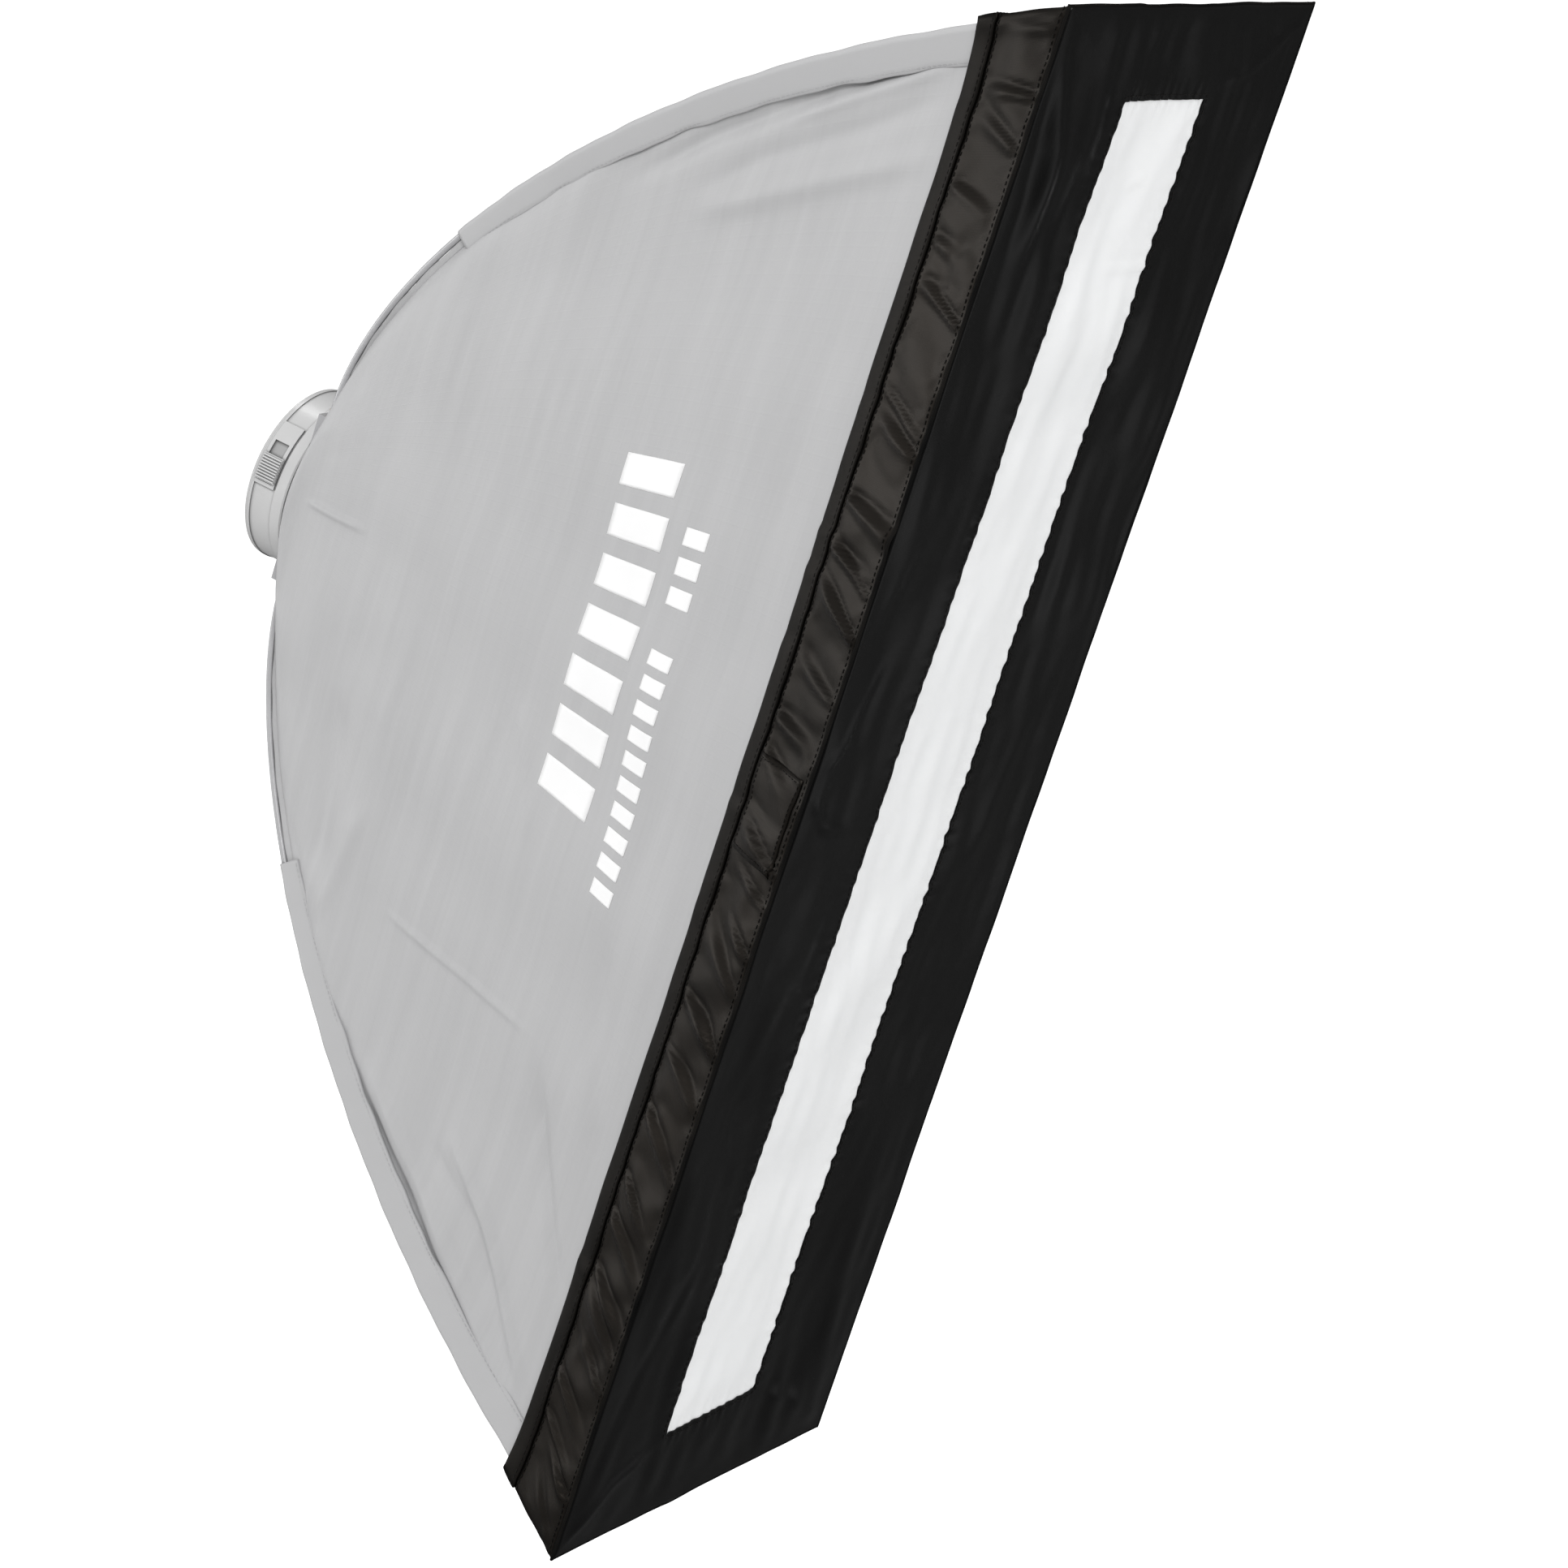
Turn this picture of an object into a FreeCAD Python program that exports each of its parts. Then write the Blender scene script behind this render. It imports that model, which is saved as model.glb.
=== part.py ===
import FreeCAD, Part
import math
import os
import re

import Sketcher
from FreeCAD import Placement, Rotation, Vector

# Strip softbox with a clamping speed ring and a strip mask.
# Frame: origin at the centre of the ring's bore, in the ring's rear face.
# -Y points forward, the way the light goes; +Z runs along the long side; +X is to the right
# for someone who looks along +Y at the lit face. Depths are measured forward from the origin.

doc = FreeCAD.newDocument("StripSoftbox")
dims = doc.addObject("Spreadsheet::Sheet", "Dims")

DRIVING = [
    ("face_width", 304.8, "lit face, one foot wide"),
    ("face_height", 914.4, "lit face, three feet long"),
    ("face_depth", 450, "lit face ahead of the ring's rear face"),
    ("bore_radius", 43, "bore that takes the flash head"),
    ("tube_radius", 46.2, "outside of the ring's tube"),
    ("ring_depth", 27, "ring from rear face to front face"),
    ("flange_radius", 54, "front flange of the ring"),
    ("flange_back", 18.8, "rear face of the front flange"),
    ("bezel_thickness", 2, "rear cover of the ring"),
    ("bezel_radius", 53.2, "outside of the rear cover"),
    ("running_gap", 0.06, "radial play of the lock ring on the tube"),
    ("side_gap", 0.2, "play beside sliding faces"),
    ("drum_radius", 52.8, "outside of the lock ring"),
    ("drum_inner", 51.6, "inside of the lock ring's drum"),
    ("drum_lip", 53.5, "raised rear lip of the lock ring"),
    ("lip_width", 1.5, "width of that lip"),
    ("web_thickness", 2.5, "cam web of the lock ring"),
    ("raised_radius", 54, "raised sector that holds the latch"),
    ("track_floor", 52.6, "floor of the latch track"),
    ("track_undercut", 53.2, "top of the undercut in the track"),
    ("raised_start", 136, "raised sector starts, degrees"),
    ("raised_end", 179, "raised sector ends, degrees"),
    ("track_start", 149.5, "latch track starts, degrees"),
    ("track_end", 176.6, "latch track ends, degrees"),
    ("latch_start", 159, "latch at rest starts, degrees"),
    ("latch_end", 176, "latch at rest ends, degrees"),
    ("grip_top", 54.9, "latch thumb face"),
    ("rib_top", 55.6, "top of the latch ribs"),
    ("jaw_width", 13.5, "clamp jaw across"),
    ("jaw_back", 4.9, "rear face of the clamp jaws"),
    ("jaw_length", 9.8, "clamp jaw along the axis"),
    ("jaw_stroke", 2.3, "travel of a clamp jaw"),
    ("cam_sweep", 32, "turn of the lock ring that closes the jaws, degrees"),
    ("cam_pin_radius", 1, "pin of a jaw in its cam slot"),
    ("cam_pin_seat", 50.3, "pin's distance from the axis, jaws open"),
    ("pad_thickness", 2.2, "rubber pad on a jaw"),
    ("bezel_screw_radius", 1, "shank of a rear cover screw"),
    ("socket_width", 10, "rod socket across"),
    ("socket_depth", 12, "rod socket along the axis"),
    ("socket_low", 27, "socket's inner end above the axis"),
    ("socket_high", 52, "socket's mouth above the axis"),
    ("socket_screw_radius", 1.1, "shank of a socket screw"),
    ("rod_offset", 38.5, "rods left and right of the axis"),
    ("rod_radius", 2, "spring rod"),
    ("sleeve_radius", 4.2, "fabric sleeve around a rod"),
    ("seam_offset", 4.6, "panel seam inside the rod"),
    ("cloth", 0.8, "thickness of shell and mask fabric"),
    ("tape", 0.85, "thickness of hook-and-loop tape"),
    ("mask_wrap", 54.7, "how far the mask reaches back"),
    ("mask_rear_half_width", 134.9, "rear corners of the mask, sideways"),
    ("mask_rear_half_height", 430.8, "rear corners of the mask, up and down"),
    ("mask_waist", 124.5, "rear edge of the mask's long side, middle"),
    ("window_width", 98, "opening of the strip mask"),
    ("window_height", 804, "opening of the strip mask"),
    ("strip_overlap", 6, "white strip behind the opening's edge"),
    ("diffuser_depth", 402.5, "front diffuser ahead of the origin"),
    ("baffle_depth", 220, "inner baffle ahead of the origin"),
    ("baffle_width", 130, "inner baffle across"),
    ("baffle_height", 520, "inner baffle up and down"),
    ("diffuser_width", 242.4, "front diffuser across"),
    ("diffuser_height", 834, "front diffuser up and down"),
    ("strap_width", 12, "baffle strap across"),
    ("strap_thickness", 0.64, "baffle strap"),
    ("snap_inset", 8, "snaps from the baffle's edges"),
    ("snap_post_radius", 1.4, "post of a press snap"),
    ("flange_chamfer", 0.8, "chamfer of the ring's front flange"),
    ("bezel_chamfer", 0.7, "chamfer of the rear cover"),
    ("bezel_screw_length", 8, "screw of the rear cover"),
    ("socket_screw_step", 2.7, "socket screws left and right of the socket's middle"),
    ("socket_screw_rise", 2.2, "socket screws above the socket's inner end"),
    ("socket_floor", 4.4, "solid end of the socket under the rod"),
    ("socket_round", 2, "rounding of the socket's front edges"),
    ("screw_cap", 1.3, "height of a pan head"),
    ("track_back", 4.9, "rear end of the latch track"),
    ("track_length", 11.6, "latch track along the axis"),
    ("track_ledge", 0.8, "overhang that holds the latch's foot"),
    ("plate_overhang", 1.1, "latch plate beyond each side of its track"),
    ("plate_gap", 0.1, "air under the latch plate"),
    ("rod_foot", 31.6, "rod's inner end above the axis"),
    ("rod_bend", 56, "rod starts to curve above the axis"),
    ("ferrule_length", 25, "brass ferrule on a rod"),
    ("rod_tip_length", 10, "rubber tip of a rod"),
    ("corner_pocket_length", 25, "webbing pocket for a rod tip"),
    ("lip_front", 3, "shell's front edge behind the lit face"),
]

for row, (alias, number, meaning) in enumerate(DRIVING, start=1):
    dims.set(f"A{row}", meaning)
    dims.set(f"B{row}", str(number))
    dims.setAlias(f"B{row}", alias)
doc.recompute()

CORNERS = {"top_left": (-1, 1), "top_right": (1, 1), "bottom_left": (-1, -1), "bottom_right": (1, -1)}
JAW_ANGLES = {"a": 90, "b": 210, "c": 330}
SCREW_ANGLE = 45
FLAT_HEAD_RATIO = 1.9
PAN_HEAD_RATIO = 1.75
RIB_COUNT = 9
ROWS = 10
COLUMNS = [-1, -0.95, -0.86, -0.72, -0.5, -0.25, 0, 0.25, 0.5, 0.72, 0.86, 0.95, 1]
REAR_SHARE = 0.05
SLEEVE_MOUTH = {1: 0.365, -1: 0.39}
CELLS = {alias: f"Dims.{alias}" for alias, _, _ in DRIVING}
TINY = 1e-9
SHAPES = []


def size(expression):
    """Value of an expression of sheet cells, such as 'bore_radius + 1'."""
    return float(dims.evalExpression(bound(expression)))


def bound(expression):
    """The expression with every cell's alias written as Dims.alias."""
    return re.sub("[a-z_]+", lambda word: CELLS.get(word.group(), word.group()), str(expression))


def keep(shape_object, label):
    """Give a finished sub-part its label and put it on the list that is written."""
    shape_object.Label = label
    SHAPES.append(shape_object)
    return shape_object


# ---------------------------------------------------------------- sketches and features


def new_body(label):
    return keep(doc.addObject("PartDesign::Body", label), label)


def origin_feature(body, role):
    return next(item for item in body.Origin.OriginFeatures if item.Role == role)


def new_sketch(body, role, lift="0"):
    """Sketch on one of the body's origin planes, lifted along the plane's normal."""
    sketch = body.newObject("Sketcher::SketchObject", body.Label + "_sketch")
    sketch.AttachmentSupport = (origin_feature(body, role), [""])
    sketch.MapMode = "FlatFace"
    sketch.setExpression("AttachmentOffset.Base.z", bound(lift))
    return sketch


def pin_point(sketch, geometry, end, across, up):
    """Dimension a point of the sketch from its origin, by two expressions."""
    for kind, axis, expression in (("DistanceX", -2, across), ("DistanceY", -1, up)):
        value = size(expression)
        if abs(value) < TINY:
            sketch.addConstraint(Sketcher.Constraint("PointOnObject", geometry, end, axis))
            continue
        index = sketch.addConstraint(Sketcher.Constraint(kind, -1, 1, geometry, end, value))
        sketch.setExpression(f"Constraints[{index}]", bound(expression))


def polygon(sketch, corners):
    """Closed outline whose corners are pairs of expressions."""
    points = [Vector(size(across), size(up), 0) for across, up in corners]
    first = sketch.GeometryCount
    for here, there in zip(points, points[1:] + points[:1]):
        sketch.addGeometry(Part.LineSegment(here, there), False)
    for index, (across, up) in enumerate(corners):
        following = (index + 1) % len(corners)
        joint = Sketcher.Constraint("Coincident", first + index, 2, first + following, 1)
        sketch.addConstraint(joint)
        pin_point(sketch, first + index, 1, across, up)


def rectangle(sketch, left, right, low, high):
    polygon(sketch, [(left, low), (right, low), (right, high), (left, high)])


def circle(sketch, across, up, radius):
    centre = Vector(size(across), size(up), 0)
    index = sketch.addGeometry(Part.Circle(centre, Vector(0, 0, 1), size(radius)), False)
    pin_point(sketch, index, 3, across, up)
    constraint = sketch.addConstraint(Sketcher.Constraint("Radius", index, size(radius)))
    sketch.setExpression(f"Constraints[{constraint}]", bound(radius))


def sector(sketch, inner, outer, start, end):
    """Closed sector between two radii and two angles about the sketch's origin."""
    angles = [math.radians(size(start)), math.radians(size(end))]
    axis = Vector(0, 0, 1)
    arcs = []
    for radius in (inner, outer):
        arc = Part.ArcOfCircle(Part.Circle(Vector(0, 0, 0), axis, size(radius)), angles[0], angles[1])
        index = sketch.addGeometry(arc, False)
        sketch.addConstraint(Sketcher.Constraint("Coincident", index, 3, -1, 1))
        constraint = sketch.addConstraint(Sketcher.Constraint("Radius", index, size(radius)))
        sketch.setExpression(f"Constraints[{constraint}]", bound(radius))
        arcs.append(index)
    for end_point, angle, expression in ((1, angles[0], start), (2, angles[1], end)):
        ray = Vector(math.cos(angle), math.sin(angle), 0)
        line = sketch.addGeometry(Part.LineSegment(ray * size(inner), ray * size(outer)), False)
        sketch.addConstraint(Sketcher.Constraint("Coincident", line, 1, arcs[0], end_point))
        sketch.addConstraint(Sketcher.Constraint("Coincident", line, 2, arcs[1], end_point))
        constraint = sketch.addConstraint(Sketcher.Constraint("Angle", line, angle))
        sketch.setExpression(f"Constraints[{constraint}]", f"({bound(expression)}) * 1 deg")


def revolve(body, sketch):
    """Turn a profile (radius across, -depth up) about the body's Y axis."""
    feature = body.newObject("PartDesign::Revolution", body.Label + "_turned")
    feature.Profile = sketch
    feature.ReferenceAxis = (sketch, ["V_Axis"])
    feature.Angle = 360
    return feature


def pad(body, sketch, length):
    feature = body.newObject("PartDesign::Pad", body.Label + "_pad")
    feature.Profile = sketch
    feature.setExpression("Length", bound(length))
    return feature


def pocket(body, sketch, length, reverse):
    """Cut a sketch away, and stop if the cut misses the solid."""
    doc.recompute()
    before = body.Shape.Volume
    feature = body.newObject("PartDesign::Pocket", body.Label + "_pocket")
    feature.Profile = sketch
    feature.setExpression("Length", bound(length))
    feature.Reversed = reverse
    doc.recompute()
    if feature.Shape.Volume > before - TINY:
        raise RuntimeError(f"a pocket of {body.Label} cuts nothing")
    return feature


def repeat_about_axis(body, feature, count):
    pattern = body.newObject("PartDesign::PolarPattern", body.Label + "_pattern")
    pattern.Originals = [feature]
    pattern.Axis = (origin_feature(body, "Y_Axis"), [""])
    pattern.Angle = 360
    pattern.Occurrences = count
    body.Tip = pattern
    return pattern


def edges_where(feature, test):
    return [f"Edge{index}" for index, edge in enumerate(feature.Shape.Edges, 1) if test(edge)]


def round_edges(body, feature, kind, amount, test):
    """Fillet or chamfer the edges of a feature that pass a test."""
    doc.recompute()
    dressed = body.newObject(f"PartDesign::{kind}", body.Label + "_" + kind.lower())
    dressed.Base = (feature, edges_where(feature, test))
    setattr(dressed, "Radius" if kind == "Fillet" else "Size", amount)
    return dressed


def runs_along(edge, direction):
    if not isinstance(edge.Curve, Part.Line):
        return False
    return abs(abs(edge.tangentAt(edge.FirstParameter).dot(direction)) - 1) < 1e-6


def at_depth(edge, depth):
    box = edge.BoundBox
    return abs(box.YMin + depth) < 1e-4 and abs(box.YMax + depth) < 1e-4


# ---------------------------------------------------------------- speed ring


def make_ring_body():
    """Tube with a front flange; three jaw windows, tapped holes for the covers and sockets."""
    body = new_body("ring_body")
    profile = new_sketch(body, "XY_Plane")
    polygon(profile, [
        ("bore_radius", "-1 * bezel_thickness"),
        ("tube_radius", "-1 * bezel_thickness"),
        ("tube_radius", "-1 * flange_back"),
        ("flange_radius", "-1 * flange_back"),
        ("flange_radius", "-1 * ring_depth"),
        ("bore_radius", "-1 * ring_depth"),
    ])
    turned = revolve(body, profile)
    rim = size("flange_radius") - 0.1
    round_edges(body, turned, "Chamfer", size("flange_chamfer"), lambda edge: edge.BoundBox.XMax > rim)
    doc.recompute()
    window = new_sketch(body, "XY_Plane")
    half = "jaw_width / 2 + side_gap / 2"
    front = "-1 * ( jaw_back + jaw_length + side_gap / 2 )"
    rectangle(window, f"-1 * ( {half} )", half, front, "-1 * ( jaw_back - side_gap / 2 )")
    repeat_about_axis(body, pocket(body, window, "tube_radius + 1", True), 3)
    taps = new_sketch(body, "XZ_Plane")
    reach = f"( bore_radius + tube_radius ) / 2 * cos({SCREW_ANGLE})"
    circle(taps, reach, reach, "bezel_screw_radius + 0.05")
    repeat_about_axis(body, pocket(body, taps, "bezel_screw_length + 2.3", True), 4)
    mounting = new_sketch(body, "XZ_Plane")
    for side, up in CORNERS.values():
        for step in (-1, 1):
            circle(mounting, f"{side} * rod_offset + {step} * socket_screw_step",
                   f"{up} * ( socket_low + socket_screw_rise )", "socket_screw_radius + 0.05")
    pocket(body, mounting, "ring_depth + 1", True)


def make_rear_bezel():
    """Flat rear cover that keeps the lock ring and the jaws in, with countersunk holes."""
    body = new_body("rear_bezel")
    profile = new_sketch(body, "XY_Plane")
    polygon(profile, [
        ("bore_radius", "0"),
        ("bezel_radius - bezel_chamfer", "0"),
        ("bezel_radius", "-1 * bezel_chamfer"),
        ("bezel_radius", "-1 * bezel_thickness"),
        ("bore_radius", "-1 * bezel_thickness"),
    ])
    revolve(body, profile)
    doc.recompute()
    spot = new_sketch(body, "XZ_Plane")
    reach = f"( bore_radius + tube_radius ) / 2 * cos({SCREW_ANGLE})"
    circle(spot, reach, reach, "bezel_screw_radius")
    hole = body.newObject("PartDesign::Hole", "bezel_hole")
    hole.Profile = spot
    doc.recompute()
    hole.DepthType = "ThroughAll"
    hole.setExpression("Diameter", bound("2 * bezel_screw_radius + 0.2"))
    hole.HoleCutType = "Countersink"
    hole.HoleCutCustomValues = True
    hole.setExpression("HoleCutDiameter", bound(f"2 * bezel_screw_radius * {FLAT_HEAD_RATIO} + 0.2"))
    hole.HoleCutCountersinkAngle = 90
    hole.Reversed = True
    doc.recompute()
    repeat_about_axis(body, hole, 4)


def make_bezel_screws():
    """Four countersunk screws, flush with the rear cover."""
    shank = size("bezel_screw_radius")
    head = shank * FLAT_HEAD_RATIO
    cone_depth = head - shank
    length = size("bezel_screw_length")
    outline = [Vector(0, 0, 0), Vector(head, 0, 0), Vector(shank, -cone_depth, 0),
               Vector(shank, -length, 0), Vector(0, -length, 0)]
    profile = Part.Face(Part.makePolygon(outline + outline[:1]))
    screw = profile.revolve(Vector(0, 0, 0), Vector(0, 1, 0), 360)
    slot = Part.makeBox(2 * head, 0.5, 0.5, Vector(-head, -0.5, -0.25))
    screw = screw.cut(slot)
    reach = size("( bore_radius + tube_radius ) / 2")
    screws = []
    for quarter in range(4):
        angle = math.radians(SCREW_ANGLE + 90 * quarter)
        placed = screw.copy()
        placed.translate(Vector(reach * math.cos(angle), 0, reach * math.sin(angle)))
        screws.append(placed)
    keep_feature("bezel_screws", Part.Compound(screws))


def keep_feature(label, shape):
    """Sub-part whose shape is set by Part functions."""
    feature = doc.addObject("Part::Feature", label)
    feature.Shape = shape
    feature.Placement = Placement()
    return keep(feature, label)


def cam_slot(angle):
    """One spiral cam slot, which draws a jaw pin inwards as the lock ring turns."""
    half = size("cam_pin_radius + 0.15")
    seat = size("cam_pin_seat")
    stroke = size("jaw_stroke")
    sweep = size("cam_sweep")
    back = size("bezel_thickness") - 1
    path = []
    for step in range(9):
        share = step / 8
        turn = math.radians(angle + sweep * share)
        radius = seat - stroke * share
        path.append(Vector(radius * math.cos(turn), 0, radius * math.sin(turn)))
    rays = [point.normalize() for point in [Vector(point) for point in path]]
    outer = Part.BSplineCurve()
    outer.interpolate([point + ray * half for point, ray in zip(path, rays)])
    inner = Part.BSplineCurve()
    inner.interpolate([point - ray * half for point, ray in zip(path, rays)])
    edges = [outer.toShape(), inner.toShape()]
    for place, ray, bulge in ((path[0], rays[0], 1), (path[-1], rays[-1], -1)):
        along = ray.cross(Vector(0, 1, 0)) * bulge
        arc = Part.Arc(place + ray * half, place + along * (-half), place - ray * half)
        edges.append(arc.toShape())
    face = Part.Face(Part.Wire(Part.__sortEdges__(edges)))
    face.translate(Vector(0, -back, 0))
    return face.extrude(Vector(0, -size("web_thickness + 1 + side_gap + 0.5"), 0))


def make_lock_ring():
    """Drum that turns on the tube: cam web behind, raised latch sector outside."""
    body = doc.addObject("PartDesign::Body", "lock_ring_blank")
    body.Label = "lock_ring_blank"
    profile = new_sketch(body, "XY_Plane")
    back = "bezel_thickness + side_gap"
    front = "flange_back - side_gap"
    polygon(profile, [
        ("tube_radius + running_gap", f"-1 * ( {back} )"),
        ("drum_lip", f"-1 * ( {back} )"),
        ("drum_lip", f"-1 * ( {back} + lip_width )"),
        ("drum_radius", f"-1 * ( {back} + lip_width )"),
        ("drum_radius", f"-1 * ( {front} )"),
        ("drum_inner", f"-1 * ( {front} )"),
        ("drum_inner", f"-1 * ( {back} + web_thickness )"),
        ("tube_radius + running_gap", f"-1 * ( {back} + web_thickness )"),
    ])
    revolve(body, profile)
    doc.recompute()
    raised = new_sketch(body, "XZ_Plane", f"{back} + lip_width")
    sector(raised, "drum_inner + 0.3", "raised_radius", "raised_start", "raised_end")
    pad(body, raised, f"{front} - ( {back} ) - lip_width - 0.6")
    undercut = new_sketch(body, "XZ_Plane", "track_back")
    sector(undercut, "track_floor", "track_undercut", "track_start", "track_end")
    pocket(body, undercut, "track_length", True)
    mouth = new_sketch(body, "XZ_Plane", "track_back + track_ledge")
    sector(mouth, "track_undercut - 0.1", "raised_radius + 1", "track_start", "track_end")
    pocket(body, mouth, "track_length - 2 * track_ledge", True)
    doc.recompute()
    slots = doc.addObject("Part::Feature", "cam_slots")
    slots.Shape = Part.Compound([cam_slot(angle) for angle in JAW_ANGLES.values()])
    ring = doc.addObject("Part::Cut", "lock_ring")
    ring.Base = body
    ring.Tool = slots
    keep(ring, "lock_ring")


def make_latch_slider():
    """Ribbed thumb slider: wide foot in the undercut track, narrow neck, ribbed plate over the track."""
    body = new_body("latch_slider")
    foot = new_sketch(body, "XZ_Plane", "track_back + 0.1")
    sector(foot, "track_floor + 0.05", "track_undercut - 0.08", "latch_start", "latch_end")
    pad(body, foot, "track_length - 0.2")
    neck = new_sketch(body, "XZ_Plane", "track_back + track_ledge + 0.1")
    sector(neck, "track_undercut - 0.2", "raised_radius + plate_gap + 0.2", "latch_start", "latch_end")
    pad(body, neck, "track_length - 2 * track_ledge - 0.2")
    plate = new_sketch(body, "XZ_Plane", "track_back - plate_overhang")
    sector(plate, "raised_radius + plate_gap", "grip_top", "latch_start", "latch_end")
    pad(body, plate, "track_length + 2 * plate_overhang")
    ribs = new_sketch(body, "XZ_Plane", "track_back - plate_overhang + 0.4")
    pitch = f"( latch_end - latch_start - 1.2 ) / {RIB_COUNT}"
    for index in range(RIB_COUNT):
        start = f"latch_start + 1.2 + {index} * {pitch}"
        sector(ribs, "grip_top - 0.2", "rib_top", start, f"{start} + {pitch} * 0.5")
    pad(body, ribs, "track_length + 2 * plate_overhang - 0.8")


def turn_to(angle):
    """Placement that turns a piece made at the top of the ring to an angle from +X."""
    return Placement(Vector(), Rotation(Vector(0, 1, 0), 90 - angle))


def make_jaw(letter, angle):
    """Clamp jaw: wide foot in the tube's window, narrow tail with the cam pin."""
    body = new_body(f"clamp_jaw_{letter}")
    plate = new_sketch(body, "XZ_Plane", "jaw_back")
    half = "jaw_width / 2"
    shoulder = "cam_pin_seat - 0.8"
    polygon(plate, [
        (f"-1 * {half}", "bore_radius + pad_thickness"),
        (half, "bore_radius + pad_thickness"),
        (half, shoulder),
        ("jaw_width / 4", shoulder),
        ("jaw_width / 4", "cam_pin_seat + cam_pin_radius - 0.1"),
        ("-1 * jaw_width / 4", "cam_pin_seat + cam_pin_radius - 0.1"),
        ("-1 * jaw_width / 4", shoulder),
        (f"-1 * {half}", shoulder),
    ])
    pad(body, plate, "jaw_length")
    pin = new_sketch(body, "XZ_Plane", "bezel_thickness + side_gap + 0.3")
    circle(pin, "0", "cam_pin_seat", "cam_pin_radius")
    pad(body, pin, "jaw_back - bezel_thickness - side_gap - 0.3")
    body.Placement = turn_to(angle)


def make_jaw_pad(letter, angle):
    """Rubber pad that is bonded to a jaw and hollowed to the bore's radius."""
    body = new_body(f"jaw_pad_{letter}")
    block = new_sketch(body, "XZ_Plane", "jaw_back")
    half = "jaw_width / 2"
    rectangle(block, f"-1 * {half}", half, "bore_radius - 1", "bore_radius + pad_thickness")
    pad(body, block, "jaw_length")
    doc.recompute()
    hollow = new_sketch(body, "XZ_Plane", "jaw_back")
    circle(hollow, "0", "0", "bore_radius")
    pocket(body, hollow, "jaw_length + 1", True)
    body.Placement = turn_to(angle)


def make_rod_socket(name, side, up):
    """Block on the ring's front face with a blind bore for a rod and two screw holes."""
    body = new_body(f"rod_socket_{name}")
    block = new_sketch(body, "XZ_Plane", "ring_depth")
    rectangle(block, "-1 * socket_width / 2", "socket_width / 2", "socket_low", "socket_high")
    solid = pad(body, block, "socket_depth")
    front = size("ring_depth + socket_depth")
    doc.recompute()
    round_edges(body, solid, "Fillet", size("socket_round"),
                lambda edge: at_depth(edge, front) and runs_along(edge, Vector(0, 0, 1)))
    doc.recompute()
    bore = new_sketch(body, "XY_Plane", "socket_low + socket_floor")
    circle(bore, "0", "-1 * ( ring_depth + socket_depth / 2 )", "rod_radius + 0.6")
    pocket(body, bore, "socket_high - socket_low", True)
    holes = new_sketch(body, "XZ_Plane", "ring_depth")
    for step in (-1, 1):
        circle(holes, f"{step} * socket_screw_step", "socket_low + socket_screw_rise",
               "socket_screw_radius + 0.05")
    pocket(body, holes, "socket_depth + 1", True)
    turn = 0 if up > 0 else 180
    body.Placement = Placement(Vector(side * size("rod_offset"), 0, 0), Rotation(Vector(0, 1, 0), turn))


def make_socket_screws():
    """Two pan head screws through each rod socket into the ring's flange."""
    shank = size("socket_screw_radius")
    head = shank * PAN_HEAD_RATIO
    cap_height = size("screw_cap")
    front = size("ring_depth + socket_depth")
    length = front - size("flange_back") - 1
    rise = size("socket_low + socket_screw_rise")
    screws = []
    for side, up in CORNERS.values():
        for step in (-1, 1):
            across = side * size("rod_offset") + step * size("socket_screw_step")
            centre = Vector(across, -front, up * rise)
            screw = Part.makeCylinder(shank, length, centre, Vector(0, 1, 0))
            cap = Part.makeCylinder(head, cap_height, centre - Vector(0, cap_height, 0), Vector(0, 1, 0))
            recess = Part.makeBox(2.4, 0.7, 0.6, centre - Vector(1.2, cap_height, 0.3))
            screws.append(screw.fuse(cap).cut(recess).removeSplitter())
    keep_feature("socket_screws", Part.Compound(screws))


# ---------------------------------------------------------------- rods


def rod_poles():
    """Poles of the curved part of the top right rod: upright at the ring, splayed at the tip."""
    start = Vector(size("rod_offset"), -size("ring_depth + socket_depth / 2"), size("rod_bend"))
    tip = Vector(size("face_width / 2 - 16.6"), -size("face_depth - 9"), size("face_height / 2 - 11.2"))
    return [start, Vector(start.x, start.y, 154.5), Vector(101, -195, 338), tip]


def rod_curve(side=1, up=1):
    curve = Part.BezierCurve()
    curve.setPoles([Vector(side * pole.x, pole.y, up * pole.z) for pole in rod_poles()])
    return curve


ROD = rod_curve()
HEM_DEPTH = size("face_depth - mask_wrap")


def share_at_depth(depth):
    """Parameter of the rod curve at a depth, by halving."""
    low, high = 0.0, 1.0
    for _ in range(40):
        middle = (low + high) / 2
        if -ROD.value(middle).y < depth:
            low = middle
        else:
            high = middle
    return low


def seam_point(share):
    """Seam of the shell beside the top right rod: offset from the rod towards the box's inside."""
    place = ROD.value(share)
    tangent = ROD.tangent(share)[0]
    inward = Vector(0, -200, 0) - place
    inward = inward - tangent * inward.dot(tangent)
    return place + inward.normalize() * size("seam_offset")


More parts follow.
